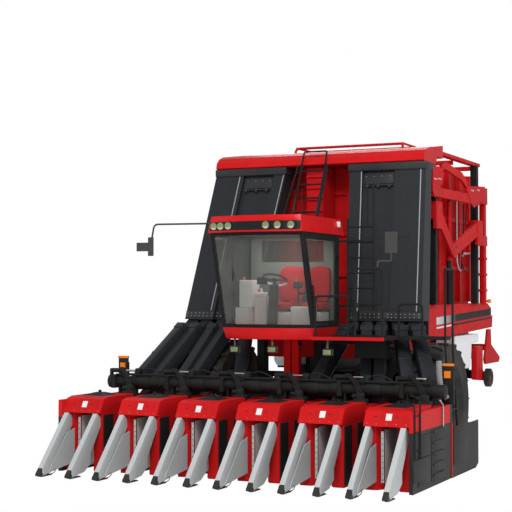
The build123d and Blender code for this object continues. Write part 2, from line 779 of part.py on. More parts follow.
# Cab roof: a shallow shell with a lamp band along its front
with BuildPart() as cab_roof:
    for low, high, inset, cut in ((cab_eaves_z + seat_gap, cab_roof_z, 0, Mode.ADD),
                                  (cab_eaves_z - 1, cab_roof_z - 25, 25, Mode.SUBTRACT)):
        with BuildSketch(Plane.XY.offset(low)) as eaves:
            with BuildLine():
                half = 780 - inset
                ThreePointArc((-half, y_at(roof_front + inset)), (0, y_at(roof_front - cab_bow + inset)),
                              (half, y_at(roof_front + inset)))
                Polyline((half, y_at(roof_front + inset)), (half, y_at(roof_rear - inset)),
                         (-half, y_at(roof_rear - inset)), (-half, y_at(roof_front + inset)))
            make_face()
        with BuildSketch(Plane.XY.offset(high)) as crown:
            with BuildLine():
                half = 740 - inset
                ThreePointArc((-half, y_at(roof_front + 50 + inset)),
                              (0, y_at(roof_front - cab_bow + 50 + inset)),
                              (half, y_at(roof_front + 50 + inset)))
                Polyline((half, y_at(roof_front + 50 + inset)), (half, y_at(roof_rear - 40 - inset)),
                         (-half, y_at(roof_rear - 40 - inset)), (-half, y_at(roof_front + 50 + inset)))
            make_face()
        loft([eaves.sketch.face(), crown.sketch.face()], mode=cut)
    for x in roof_lamp_xs:
        bow = roof_front - cab_bow * (1 - (x / 780) ** 2)
        bar((x, bow - 80, roof_lamp_z), (x, bow + 61, roof_lamp_z), 52 + seat_gap, mode=Mode.SUBTRACT)
    bar((-800, 1850, 3790), (-700, 1850, 3790), mirror_arm_radius + seat_gap, mode=Mode.SUBTRACT)
    # ceiling plate that closes the roof over the cab frame
    loft([cab_plan(cab_eaves_z + seat_gap, 0), cab_plan(cab_eaves_z + 20, 0)])
save(cab_roof.part, "cab_roof")

# Cab door: the left side opening's frame and pane
door_edge = 45
door_outline = [
    (side_window[0][0] + 5, window_low + 5), (side_window[1][0] - 5, window_low + 5),
    (side_window[2][0] - 5, window_high - 5), (side_window[3][0] + 5, window_high - 5),
]
door_inner = [
    (door_outline[0][0] + door_edge, door_outline[0][1] + door_edge),
    (door_outline[1][0] - door_edge, door_outline[1][1] + door_edge),
    (door_outline[2][0] - door_edge, door_outline[2][1] - door_edge),
    (door_outline[3][0] + door_edge, door_outline[3][1] - door_edge),
]
with BuildPart() as cab_door:
    side_profile((cab_half - 34, cab_half - 4), door_outline)
    side_profile((cab_half - 35, cab_half - 3), door_inner, mode=Mode.SUBTRACT)
    for z in (2500, 2800):
        station = cab_front_at(z) + pillar + 15
        block((cab_half - 6, cab_half + 24), (station, station + 26), (z, z + 20))
    for z in door_hinge_zs:
        block((cab_half - 6, cab_hinge_x + 9), (cab_hinge_station - 45, cab_hinge_station - 15),
              (z, z + 40))
        block((cab_hinge_x - 9, cab_hinge_x + 9), (cab_hinge_station - 16, cab_hinge_station + 8),
              (z, z + 40))
        with Locations((cab_hinge_x, y_at(cab_hinge_station), z + 20)):
            Cylinder(cab_hinge_pin + running_fit, 60, mode=Mode.SUBTRACT)
    low, high = [(cab_front_at(z) + pillar + 28, z) for z in (2470, 2850)]
    bar((cab_half + 22, *low), (cab_half + 22, *high), 10)
save(cab_door.part, "cab_door")
with BuildPart() as door_glass:
    pane = [
        (door_inner[0][0] + seat_gap, door_inner[0][1] + seat_gap),
        (door_inner[1][0] - seat_gap, door_inner[1][1] + seat_gap),
        (door_inner[2][0] - seat_gap, door_inner[2][1] - seat_gap),
        (door_inner[3][0] + seat_gap, door_inner[3][1] - seat_gap),
    ]
    side_profile((cab_half - 22, cab_half - 16), pane)
save(door_glass.part, "door_glass")

# Seats: a cushion and a back each, on pedestals with the controls
floor_top = cab_floor_z
seats = [
    # x, station, half width
    (60, 2780, 230),
    (500, 2860, 190),
]
with BuildPart() as cab_seats:
    for x, station, half in seats:
        block((x - half, x + half), (station - 170, station + 260),
              (floor_top + 250 + seat_gap, floor_top + 380))
        side_profile((x - half + 10, x + half - 10), [
            (station + 170, floor_top + 379), (station + 260, floor_top + 379),
            (station + 330, floor_top + 960), (station + 240, floor_top + 960)])
save(cab_seats.part, "cab_seats")

with BuildPart() as cab_interior:
    for x, station, half in seats:
        block((x - 110, x + 110), (station - 40, station + 160), (floor_top, floor_top + 250))
    side_profile((-60, 60), [(2330, floor_top), (2450, floor_top), (2500, floor_top + 660),
                             (2430, floor_top + 660)])
    wheel_plane = Plane(origin=(0, y_at(2490), floor_top + 720), x_dir=(1, 0, 0),
                        z_dir=(0, 0.45, 0.9))
    with BuildSketch(wheel_plane) as wheel_ring:
        Circle(205)
        Circle(180, mode=Mode.SUBTRACT)
        Rectangle(370, 26)
        Circle(46)
    extrude(wheel_ring.sketch, amount=24)
    bar((0, 2465, floor_top + 640), (0, 2492, floor_top + 725), 26)
    block((-400, -200), (2600, 3000), (floor_top, floor_top + 470))
    bar((-300, 2680, floor_top + 460), (-300, 2640, floor_top + 600), 18)
    block((-640, -420), (2420, 2740), (floor_top, floor_top + 300))
save(cab_interior.part, "cab_interior")

# Lamps: six round ones in the roof band, two work lamps and one at the platform
with BuildPart() as lamps:
    for x in roof_lamp_xs:
        bow = roof_front - cab_bow * (1 - (x / 780) ** 2)
        bar((x, bow + 2, roof_lamp_z), (x, bow + 60, roof_lamp_z), 52)
    for x, station, z in ((-576, 2240, 1860), (102, 2150, 1870), (1050, 2040, 1850)):
        block((x - 75, x + 75), (station, station + 70), (z - 50, z + 50))
        top = (cab_base_z if x < 800 else deck_z[0]) - seat_gap
        block((x - 12, x + 12), (station + 20, station + 44), (z + 49, top))
save(lamps.part, "lamps")

# Platform: deck beside the cab with the walkway to the ladder, a locker and two brackets below
under_deck = deck_z[0] - seat_gap
with BuildPart() as platform:
    block(deck_x, deck_stations, deck_z)
    block((deck_x[1] - 1, walkway_x), (2700, deck_stations[1]), deck_z)
    block((1284, 1750), (2560, 2840), (1750, under_deck))
    for stations in ((2930, 2960), (3000, deck_stations[1])):
        block((cab_post_x[1] + seat_gap, 1300), stations, (1940, cab_base_z - 6))
        block((deck_x[0], 1300), stations, (cab_base_z - 7, under_deck))
save(platform.part, "platform")

rail_foot = deck_z[1] + seat_gap
with BuildPart() as handrails:
    tube_run([(870, 2025, rail_foot), (870, 2025, 2680), (1390, 2025, 2680), (1390, 2025, rail_foot)],
             60, tube_radius)
    tube_run([(1500, 2025, rail_foot), (1500, 2025, 3085), (1925, 2025, 3085), (1925, 2025, rail_foot)],
             60, tube_radius)
    bar((1500, 2025, 2570), (1925, 2025, 2570), tube_radius - 4)
    tube_run([(1935, 2720, rail_foot), (1935, 2720, 2560), (2300, 2720, 2560), (2300, 2720, rail_foot)],
             60, tube_radius)
    # boarding ladder outside the drive wheels, and the ladder at the cab's rear
    for station in (2790, 3170):
        tube_run([(2630, station, 3080), (2630, station, 1960), (2715, station, 330)], 40, tube_radius)
    bar((2630, 2790, 3080), (2630, 3170, 3080), tube_radius)
    for i in range(5):
        z = 400 + i * 300
        x = 2630 + 85 * (1960 - z) / 1630
        block((x - 60, x + 20), (2790, 3170), (z - 12, z + 12))
    block((walkway_x + seat_gap, 2640), (2780, 3030), deck_z)
    for x in (900, 1330):
        bar((x, 3290, 2460), (x, 3290, 3900), tube_radius)
    for i in range(6):
        z = 2560 + i * 240
        bar((900, 3290, z), (1330, 3290, z), 13)
    for z in (2500, 3520):
        block((690, 915), (cab_rear + seat_gap, cab_rear + 12), (z, z + 40))
        for x in (900, 1330):
            block((x - 12, x + 12), (cab_rear + seat_gap, 3292), (z, z + 40))
        block((900, 1330), (cab_rear + seat_gap, cab_rear + 12), (z, z + 40))
    tube_run([(1230, 3290, 3760), (1230, 3290, 4400), (1330, 3290, 4400), (1330, 3290, 3880)],
             40, tube_radius - 3)
save(handrails.part, "handrails")

# Mirrors on bent arms from the roof corner and the platform rail
with BuildPart() as mirrors:
    tube_run([(-745, 1850, 3790), (-900, 1850, 3790), (-1700, 1720, 3790), (-1740, 1710, 3560)], 70,
             mirror_arm_radius)
    block((-1790, -1700), (1680, 1700), (3300, 3590))
    block((-2000, -1800), (1690, 1715), (3375, 3510))
    bar((-1740, 1712, 3570), (-1740, 1690, 3440), 14)
    bar((-1745, 1700, 3440), (-1900, 1700, 3440), 12)
    tube_run([(1850, 2025, 3085 + tube_radius + seat_gap), (1850, 2025, 3190), (2025, 2120, 3190),
              (2025, 2120, 3420)], 30, mirror_arm_radius)
    block((1935, 2115), (2105, 2135), (3310, 3620))
save(mirrors.part, "mirrors")

# Duct banks: three tall lean ducts each side, the middle one set back
def bank_face(column, at_bottom, inset, mirror):
    x = (column[0], column[1]) if at_bottom else (column[2], column[3])
    front, z = bank_bottom if at_bottom else bank_top
    rear = front + (bank_depth_bottom if at_bottom else bank_depth_top)
    front += column[4]
    lift = inset * (-0.5 if at_bottom else -1)
    with BuildSketch(Plane.XY.offset(z + lift)) as face:
        with Locations((mirror * (x[0] + x[1]) / 2, y_at((front + rear) / 2))):
            Rectangle(x[1] - x[0] - 2 * inset, rear - front - 2 * inset)
    return face.sketch.face()


def bank_rear_at(z):
    rise = (z - bank_bottom[1]) / (bank_top[1] - bank_bottom[1])
    rear_bottom = bank_bottom[0] + bank_depth_bottom
    return rear_bottom + (bank_top[0] + bank_depth_top - rear_bottom) * rise


with BuildPart() as duct_banks:
    for mirror in (-1, 1):
        for column in bank_columns:
            loft([bank_face(column, True, 0, mirror), bank_face(column, False, 0, mirror)])
            loft([bank_face(column, True, bank_wall, mirror),
                  bank_face(column, False, bank_wall, mirror)], mode=Mode.SUBTRACT)
        # flange that ties the three ducts together behind
        limits = sorted((mirror * 900, mirror * 1800))
        side_profile(limits, [(bank_rear_at(2500) - 4, 2500), (bank_rear_at(2500) + 40, 2500),
                              (bank_rear_at(2620) + 40, 2620), (bank_rear_at(2620) - 4, 2620)])
save(duct_banks.part, "duct_banks")


# White solution tank on the left, its twin on the right
tank_side = [
    (6240, 1975), (7780, 1975), (7780, 1820), (7310, 1810), (7250, 1420), (7190, 1370),
    (6440, 1370), (6330, 1460),
]
with BuildPart() as tanks:
    for side in (-1, 1):
        side_profile(sorted((side * 1400, side * 1760)), tank_side)
save(tanks.part, "tanks")

# Supports on the chassis: cab posts, duct stands and tank cradles
with BuildPart() as body_supports:
    for x in (10, 145):
        with BuildSketch(Plane.XY.offset(rail_z[1] + seat_gap)) as foot:
            with Locations((x + 60, y_at(2860))):
                Rectangle(115, 120)
        with BuildSketch(Plane.XY.offset(cab_base_z - seat_gap)) as head:
            with Locations((x + 175, y_at(2600))):
                Rectangle(115, 120)
        loft([foot.sketch.face(), head.sketch.face()])
    for limits in both_sides(cab_post_x):
        block(limits, (3020, 3200), (rail_z[1] + seat_gap, cab_base_z - seat_gap))
    for side in (-1, 1):
        block(sorted((side * (rail_x[1] - 80), side * 1000)), (4060, 4160),
              (rail_z[1] + seat_gap, rail_z[1] + 90))
        limits = sorted((side * 930, side * 1000))
        block(limits, (4060, 4160), (rail_z[1] + 80, 2600))
        side_profile(limits, [(bank_rear_at(2520) + 40.5, 2520), (4100, 2520), (4100, 2600),
                              (bank_rear_at(2600) + 40.5, 2600)])
        for station in (6500, 7050):
            block(sorted((side * bracket_x, side * 1760)), (station, station + 60),
                  (1332, tank_side[5][1] - seat_gap))
            block(sorted((side * bracket_x, side * 660)), (station, station + 60),
                  (1200, 1332 - seat_gap))
save(body_supports.part, "body_supports")

# Chamber floor: deck on two beams that rest on the rails, with lugs for the pivots and the door
under_floor = chamber_floor_z[0] - seat_gap
with BuildPart() as chamber_floor:
    block((-chamber_half + 20, chamber_half - 20), chamber_stations, chamber_floor_z)
    for limits in both_sides((470, 550)):
        block(limits, (5000, rear_beam[0] - 20), (rail_z[1] + seat_gap, under_floor))
    for side in (-1, 1):
        block(sorted((side * 1180, side * 1380)), (7560, 7930), (1460, under_floor))
        limits = sorted((side * 1370, side * 1690))
        block(limits, (7640, 7860), (1510, 1700))
        bar((limits[0] - 1, tilt_pivot_station, tilt_pivot_z),
            (limits[1] + 1, tilt_pivot_station, tilt_pivot_z),
            tilt_pin_radius + running_fit, mode=Mode.SUBTRACT)
        # ears and pin for the tilt cylinder's eye
        ear_x = sorted((side * tilt_cylinder_x[0], side * tilt_cylinder_x[1]))
        block((ear_x[0] - 14, ear_x[1] + 14), (tilt_eye[0] - 70, tilt_eye[0] + 70),
              (under_floor - 14, under_floor))
        for x in (ear_x[0] - 14, ear_x[1] - 2):
            side_profile((x, x + 16), [(tilt_eye[0] - 70, under_floor), (tilt_eye[0] + 70, under_floor),
                                       (tilt_eye[0] + 40, tilt_eye[1] - 40),
                                       (tilt_eye[0] - 40, tilt_eye[1] - 40)])
        bar((ear_x[0] - 10, *tilt_eye), (ear_x[1] + 10, *tilt_eye), tilt_eye_pin)
    floor_rear = chamber_stations[1] + seat_gap
    for x in (-1230, -690, -530, 500, 660, 1200):
        side_profile((x, x + 30), [(8600, under_floor), (floor_rear, under_floor), (floor_rear, 1626),
                                   (8790, 1670), (8806, 1640), (8790, 1600), (8600, 1580)])
    bar((-1230, door_hinge[0], door_hinge[1]), (1230, door_hinge[0], door_hinge[1]), 26)
save(chamber_floor.part, "chamber_floor")

# Chamber walls: ribbed sides and front, open at the rear for the module
with BuildPart() as chamber_walls:
    wall_z = (chamber_floor_z[1] + seat_gap, chamber_top_z)
    front_wall = (chamber_stations[0], chamber_stations[0] + chamber_wall)
    block((-chamber_half + 21, chamber_half - 21), front_wall, wall_z)
    for side in (-1, 1):
        limits = sorted((side * (chamber_half - 20), side * chamber_half))
        block(limits, chamber_stations, (chamber_floor_z[0], chamber_top_z))
        for station in (5300, 5950, 6600, 7200, 7900, 8560):
            block(sorted((side * (chamber_half - 1), side * (chamber_half + 70))),
                  (station, station + 90), (2560, chamber_top_z))
        for z in (3150, 4050):
            block(sorted((side * (chamber_half - 1), side * (chamber_half + 40))),
                  (5300, 8650), (z, z + 70))
    for x in (-1150, -760, -370, 280, 670, 1060):
        block((x, x + 90), (chamber_stations[0] - 70, chamber_stations[0] + 1), (2560, 4780))
    for z in (3000, 3700, 4400):
        block((-1240, 1240), (chamber_stations[0] - 40, chamber_stations[0] + 1), (z, z + 70))
save(chamber_walls.part, "chamber_walls")

# Side panels: long skins with a bevelled top and a sill back to the chamber wall
with BuildPart() as side_panels:
    for side in (-1, 1):
        with BuildSketch(Plane.XZ.offset(-y_at(8764))) as panel:
            with BuildLine():
                Polyline(*[(side * x, z) for x, z in (
                    (panel_x, 1900), (panel_x, 2440), (panel_x - 70, panel_top_z),
                    (chamber_half + seat_gap, panel_top_z), (chamber_half + seat_gap, 2505),
                    (panel_x - 82, 2505), (panel_x - 20, 2428), (panel_x - 20, 1900))], close=True)
            make_face()
        extrude(panel.sketch, amount=8764 - 4285)
        cut = sorted((side * (panel_x - 100), side * (panel_x + 10)))
        side_profile(cut, [(4200, 1800), (8900, 1800), (8900, 2090), (8571, 2079), (4515, 1947),
                           (4340, 2440), (4200, 2440)], mode=Mode.SUBTRACT)
        side_profile(cut, [(8571, 2079), (8800, 2079), (8800, 2440), (8620, 2440)],
                     mode=Mode.SUBTRACT)
        block(sorted((side * chamber_half, side * (panel_x + 10))), (8506, 8800), (2300, 2600),
              mode=Mode.SUBTRACT)
        block(sorted((side * (chamber_half - 5), side * 1500)), (4200, 4880), (2400, 2600),
              mode=Mode.SUBTRACT)
save(side_panels.part, "side_panels")

# Posts: four square masts on the sills
post_x = (panel_x - post_size, panel_x)
with BuildPart() as chamber_posts:
    for limits in both_sides(post_x):
        for station, top in zip(post_stations, post_tops):
            block(limits, (station, station + post_size), (panel_top_z + seat_gap, top))
    for x in (-1740, 1740):
        bar((x, 5960, panel_top_z + seat_gap), (x, 5960, 3300), 45)
        bar((x, 5960, 3290), (x, 5960, 4400), 26)
        block((x - 45, x + 45), (5900, 6020), (4390, 4470))
save(chamber_posts.part, "chamber_posts")

# Braces: a beam with two gusset plates, and a V between the sleeves on the posts
brace_x = (panel_x + seat_gap, panel_x + 60)
brace_beam = [(4700, 4325), (7560, 4340), (7560, 4510), (4700, 4480)]
front_gusset = [
    (4640, 4815), (5039, 4835), (5269, 4738), (5209, 4587), (4949, 4448), (4760, 4300), (4640, 4400),
]
rear_gusset = [
    (6686, 4629), (7849, 4707), (7847, 4592), (7632, 4464), (7160, 4272), (6945, 4327), (6686, 4547),
]
brace_link = [
    (5150, 4760), (5230, 4890), (5420, 4950), (6420, 4850), (6760, 4700), (6760, 4600), (6380, 4720),
    (5400, 4830),
]
brace_v = [
    (5190, 4120), (5758, 3640), (5860, 3560), (5990, 3600), (7500, 4060), (7500, 3790), (6120, 3400),
    (5960, 3330), (5800, 3400), (5190, 3800),
]
with BuildPart() as chamber_braces:
    for side in (-1, 1):
        side_profile(sorted((side * brace_x[0], side * brace_x[1])), brace_beam)
        for outline in (brace_link, brace_v):
            side_profile(sorted((side * brace_x[0], side * (brace_x[1] - 10))), outline)
        for outline in (front_gusset, rear_gusset):
            side_profile(sorted((side * (brace_x[1] - 12), side * (brace_x[1] + 9))), outline)
        for front, low, high in ((4870, 3960, 4250), (7400, 3765, 4060)):
            rear = front + 330
            block(sorted((side * brace_x[0], side * brace_x[1])), (front, rear), (low - 160, high))
            block(sorted((side * 1672, side * (brace_x[0] + 1))), (front, front + 129), (low, high))
        block(sorted((side * brace_x[0], side * (brace_x[1] - 12))), (5040, 5110), (4470, 4600))
save(chamber_braces.part, "chamber_braces")

# Top hood over the duct banks: rolled front, closed ends, open below
with BuildPart() as top_hood:
    side_profile((-hood_half, hood_half), [
        (4161, 4872), (4190, 4965), (4280, 5045), (4432, 5096), (5203, 5198),
        (5203, chamber_top_z + seat_gap), (4890, chamber_top_z + seat_gap), (4800, 4850),
        (4220, 4850)])
    side_profile((-hood_half + 12, hood_half - 12), [
        (4180, 4876), (4208, 4958), (4290, 5033), (4434, 5084), (5190, 5184), (5190, 4993),
        (4884, 4993), (4788, 4845), (4224, 4845)], mode=Mode.SUBTRACT)
    # ladder hung from the hood's lip, in front of the chamber
    for x in (-250, 175):
        bar((x, 3720, 3960), (x, 4179, 4900), 19)
    for i in range(4):
        share = 0.1 + i * 0.25
        bar((-250, 3720 + 459 * share, 3960 + 940 * share),
            (175, 3720 + 459 * share, 3960 + 940 * share), 15)
save(top_hood.part, "top_hood")

# Top frame: side beams back to the rear cross beam, roof panel and the raised hatch frame
with BuildPart() as top_frame:
    block((-chamber_half, chamber_half), (5203.3, 8100), (chamber_top_z + seat_gap, 5010))
    for limits in both_sides((1640, 1760)):
        block(limits, (5203.3, 7915), (5080, 5140))
    for station in (5260, 6500, 7740):
        block((-1641, 1641), (station, station + 80), (5009, 5085))
    for limits in both_sides((chamber_half + 1, 1700)):
        block(limits, (5260, 5340), (5009, 5100))
    tube_run([(-900, 5300, 5080), (-900, 5420, 5300), (1100, 5420, 5300), (1100, 5300, 5080)], 60, 22)
    block((-900, 1100), (5500, 5540), (5290, 5320))
    block((-900, 1100), (6100, 6140), (5290, 5320))
    for x in (-900, 1070):
        block((x, x + 30), (5400, 6140), (5290, 5320))
        block((x, x + 30), (6100, 6140), (5009, 5291))
save(top_frame.part, "top_frame")

# Rear door: ribbed ramp hinged at the chamber floor
with BuildPart() as rear_door:
    block((-1270, 1270), (8706, 8740), (1725, rear_door_top))
    for x in (-1200, -640, -40, 560, 1110):
        block((x, x + 90), (8739, 8830), (1780, rear_door_top - 20))
    for z in (2500, 3400, rear_door_top - 110):
        block((-1200, 1200), (8739, 8800), (z, z + 80))
    for x in (-640, 550):
        side_profile((x, x + 90), [(8739, 1900), (8830, 1900), (8825, 1640), (8800, 1590),
                                   (8740, 1590), (8715, 1640), (8739, 1726)])
        bar((x - 1, door_hinge[0], door_hinge[1]), (x + 91, door_hinge[0], door_hinge[1]),
            26 + running_fit, mode=Mode.SUBTRACT)
save(rear_door.part, "rear_door")

# Rear wedges: corner plates under the chamber's rear end
with BuildPart() as rear_wedges:
    for limits in both_sides((1740, 1779)):
        side_profile(limits, [(8130, 1480), (8350, 2040), (8560, 2040), (8590, 1745), (overall_length, 1490),
                              (overall_length, 1440), (9140, 1390), (8200, 1390)])
    for side in (-1, 1):
        block(sorted((side * (chamber_half + seat_gap), side * 1741)), (8360, 8440), (1640, 1760))
save(rear_wedges.part, "rear_wedges")


# Cylinders: barrels on the chassis, rods that meet the arms' and floor's pins
def cylinder_pair(base, eye, x_limits, barrel_radius, rod_radius, base_pin, eye_pin, slack, closed):
    """Barrels and rods for both sides; slack is the eye's play round its pin, closed the
    gland's share of the distance between the pins."""
    middle = (x_limits[0] + x_limits[1]) / 2
    half = (x_limits[1] - x_limits[0]) / 2 - 16

    def at(share):
        return base[0] + (eye[0] - base[0]) * share, base[1] + (eye[1] - base[1]) * share

    with BuildPart() as barrels:
        for side in (-1, 1):
            x = side * middle
            bar((x - half, *base), (x + half, *base), base_pin + 20)
            bar((x, *at(0.03)), (x, *at(closed)), barrel_radius)
            bar((x, *at(0.16)), (x, *at(closed + 0.02)), rod_radius + running_fit, mode=Mode.SUBTRACT)
            bar((x - 2 * half, *base), (x + 2 * half, *base), base_pin + running_fit,
                mode=Mode.SUBTRACT)
    with BuildPart() as rods:
        for side in (-1, 1):
            x = side * middle
            bar((x, *at(0.2)), (x, *at(0.99)), rod_radius)
            bar((x - half, *eye), (x + half, *eye), eye_pin + slack + 16)
            bar((x - 2 * half, *eye), (x + 2 * half, *eye), eye_pin + slack, mode=Mode.SUBTRACT)
    return barrels.part, rods.part


lift_barrels, lift_rods = cylinder_pair(lift_base, lift_eye, lift_arm_x, lift_barrel_radius,
                                        lift_rod_radius, 25, 22, 4, 0.72)
save(lift_barrels, "lift_barrels")
save(lift_rods, "lift_rods")
tilt_barrels, tilt_rods = cylinder_pair(tilt_base, tilt_eye, tilt_cylinder_x, tilt_barrel_radius,
                                        tilt_rod_radius, 30, tilt_eye_pin, 18.5, 0.78)
save(tilt_barrels, "tilt_barrels")
save(tilt_rods, "tilt_rods")
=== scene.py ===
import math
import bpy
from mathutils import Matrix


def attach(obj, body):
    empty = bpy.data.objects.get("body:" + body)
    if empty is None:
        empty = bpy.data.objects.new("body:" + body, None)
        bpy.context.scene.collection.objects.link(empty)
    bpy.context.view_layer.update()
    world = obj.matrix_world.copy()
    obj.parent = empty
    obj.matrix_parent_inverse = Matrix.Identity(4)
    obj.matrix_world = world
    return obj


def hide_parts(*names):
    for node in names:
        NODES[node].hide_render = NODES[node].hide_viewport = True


bl_info = {
    "name": "Cotton Picker Dresser",
    "version": (1, 0, 0),
    "blender": (4, 5, 0),
    "location": "View3D > Sidebar > Picker",
    "description": "Finishes and fittings for a six-row cotton picker with its own module chamber",
    "category": "Object",
}

import bpy
from bpy.props import FloatProperty, FloatVectorProperty, IntProperty
from mathutils import Matrix, Vector

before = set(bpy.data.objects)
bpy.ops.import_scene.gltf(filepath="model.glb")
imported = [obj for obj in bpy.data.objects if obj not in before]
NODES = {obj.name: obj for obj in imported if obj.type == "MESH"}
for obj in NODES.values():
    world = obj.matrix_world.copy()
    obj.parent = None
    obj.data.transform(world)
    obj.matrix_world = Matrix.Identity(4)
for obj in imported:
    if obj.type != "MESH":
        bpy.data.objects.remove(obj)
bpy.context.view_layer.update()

LENGTH = 9.2
NOSE = -LENGTH / 2
ROW_PITCH = 0.965
ROW_XS = [(i - 2.5) * ROW_PITCH for i in range(6)]
ROTOR_OFFSET = 0.206
SIDES = (-1, 1)
RIGHT_ANGLE = math.radians(90)


def y_at(station):
    """Y of a distance behind the divider tips, both in metres."""
    return station + NOSE


def at(x, station, z):
    """The point at a distance across, a station and a height."""
    return (x, y_at(station), z)


# Shader maths


def arithmetic(operation, reflected=False):
    """A Link method that adds one Math node."""
    def method(self, other):
        values = (other, self) if reflected else (self, other)
        return self.math(operation, *values)

    return method


class Link:
    """A shader socket that can be used in Python expressions."""

    def __init__(self, finish, socket):
        self.finish = finish
        self.socket = socket

    def math(self, operation, *values):
        return self.finish.node("ShaderNodeMath", {"operation": operation},
                                dict(enumerate(values)))

    __add__ = arithmetic("ADD")
    __radd__ = arithmetic("ADD", True)
    __sub__ = arithmetic("SUBTRACT")
    __rsub__ = arithmetic("SUBTRACT", True)
    __mul__ = arithmetic("MULTIPLY")
    __rmul__ = arithmetic("MULTIPLY", True)
    __gt__ = arithmetic("GREATER_THAN")
    __lt__ = arithmetic("LESS_THAN")

    def __abs__(self):
        return self.math("ABSOLUTE", self)

    def clamp(self):
        return self.math("MINIMUM", self.math("MAXIMUM", self, 0.0), 1.0)


class Finish:
    """One material and its node tree."""

    def __init__(self, name):
        self.material = bpy.data.materials.new(name)
        self.material.use_nodes = True
        self.tree = self.material.node_tree
        self.tree.nodes.clear()
        self.shader = self.tree.nodes.new("ShaderNodeBsdfPrincipled")
        out = self.tree.nodes.new("ShaderNodeOutputMaterial")
        self.tree.links.new(self.shader.outputs[0], out.inputs[0])
        self.place = Link(self, self.tree.nodes.new("ShaderNodeTexCoord").outputs["Object"])
        parts = self.tree.nodes.new("ShaderNodeSeparateXYZ")
        self.tree.links.new(self.place.socket, parts.inputs[0])
        self.x, self.y, self.z = [Link(self, s) for s in parts.outputs]

    def node(self, kind, settings=None, values=None, out=0):
        made = self.tree.nodes.new(kind)
        for key, value in (settings or {}).items():
            setattr(made, key, value)
        for key, value in (values or {}).items():
            if isinstance(value, Link):
                self.tree.links.new(value.socket, made.inputs[key])
            else:
                made.inputs[key].default_value = value
        return Link(self, made.outputs[out])

    def noise(self, scale, detail=3.0, rough=0.55, stretch=None):
        place = self.place
        if stretch:
            place = self.node("ShaderNodeMapping", None, {"Vector": place, "Scale": stretch})
        return self.node("ShaderNodeTexNoise", None,
                         {"Vector": place, "Scale": scale, "Detail": detail, "Roughness": rough})

    def ramp(self, value, low, high, start=0.0, end=1.0):
        return self.node("ShaderNodeMapRange", {"clamp": True},
                         {0: value, 1: low, 2: high, 3: start, 4: end})

    def mix(self, share, a, b, blend="MIX"):
        def colour(c):
            return c if isinstance(c, Link) else (*c[:3], 1)

        return self.node("ShaderNodeMix", {"data_type": "RGBA", "blend_type": blend},
                         {0: share, 6: colour(a), 7: colour(b)}, out=2)

    def bump(self, height, strength=0.3, distance=0.002):
        return self.node("ShaderNodeBump", None,
                         {"Strength": strength, "Distance": distance, "Height": height})

    def set(self, **values):
        for key, value in values.items():
            name = key.replace("_", " ")
            if isinstance(value, Link):
                self.tree.links.new(value.socket, self.shader.inputs[name])
            elif isinstance(value, (tuple, list)):
                self.shader.inputs[name].default_value = (*value[:3], 1)
            else:
                self.shader.inputs[name].default_value = value
        return self

    def dust(self, top, low=0.0):
        """How dusty a spot is: more near the ground and in patches."""
        height = self.ramp(self.z, low, top, 1.0, 0.0)
        patches = self.ramp(self.noise(2.2, 5.0, 0.62), 0.42, 0.72)
        fine = self.ramp(self.noise(26.0, 3.0), 0.3, 0.7, 0.5, 1.0)
        return (height * 0.55 + patches * 0.25) * fine


DUST = (0.33, 0.26, 0.19)


def paint(name, colour, rough=0.4, coat=0.0, dust=0.03, dust_top=1.1, second=None, where=None):
    """Sprayed paint with orange peel, fine fading and field dust; second where the mask says."""
    f = Finish(name)
    tone = f.mix(where(f), colour, second) if where else colour
    fade = f.ramp(f.noise(1.3, 4.0), 0.3, 0.7, 0.86, 1.06)
    shade = f.node("ShaderNodeCombineColor", None, {0: fade, 1: fade, 2: fade})
    tone = f.mix(1.0, tone, shade, "MULTIPLY")
    share = f.dust(dust_top) * dust
    specks = f.ramp(f.noise(150.0, 2.0), 0.66, 0.74)
    peel = f.noise(380.0, 1.0)
    f.set(Base_Color=f.mix(share, tone, DUST),
          Roughness=(f.ramp(f.noise(9.0, 4.0), 0.3, 0.7, rough - 0.06, rough + 0.1)
                     + share * 0.45 + specks * 0.1).clamp(),
          Coat_Weight=coat, Coat_Roughness=0.12, Specular_IOR_Level=0.05,
          Normal=f.bump(peel, 0.08, 0.0006))
    return f


def moulding(name, colour, rough=0.5, dust=0.2, dust_top=1.3, grain=0.16, second=None, where=None):
    """Moulded plastic with a fine grain, scuffs and dust; second where the mask says."""
    f = Finish(name)
    scuff = f.ramp(f.noise(14.0, 6.0, 0.7, (1, 0.25, 1)), 0.58, 0.75)
    share = f.dust(dust_top) * dust
    worn = [min(1.0, c * 1.3 + 0.006) for c in colour]
    tone = f.mix(scuff * 0.35, colour, worn)
    if where:
        tone = f.mix(where(f), tone, second)
    f.set(Base_Color=f.mix(share, tone, DUST),
          Roughness=(rough + share * 0.3 + scuff * 0.1).clamp(),
          Specular_IOR_Level=0.16,
          Normal=f.bump(f.noise(520.0, 2.0), grain, 0.0008))
    return f


def bare_metal(name, colour, rough=0.35, rust=0.0, metallic=1.0):
    """Worn steel with drawn streaks and a little rust."""
    f = Finish(name)
    streak = f.noise(30.0, 3.0, 0.6, (1, 1, 8))
    patch = f.ramp(f.noise(7.0, 6.0, 0.7), 0.55, 0.72) * rust
    f.set(Base_Color=f.mix(patch, f.mix(f.ramp(streak, 0.3, 0.7, 0.0, 0.4), colour,
                                        [c * 0.72 for c in colour]), (0.2, 0.09, 0.04)),
          Metallic=(metallic - patch * 0.8).clamp(),
          Roughness=(f.ramp(streak, 0.3, 0.7, rough - 0.06, rough + 0.12) + patch * 0.4).clamp(),
          Normal=f.bump(streak, 0.1, 0.0006))
    return f


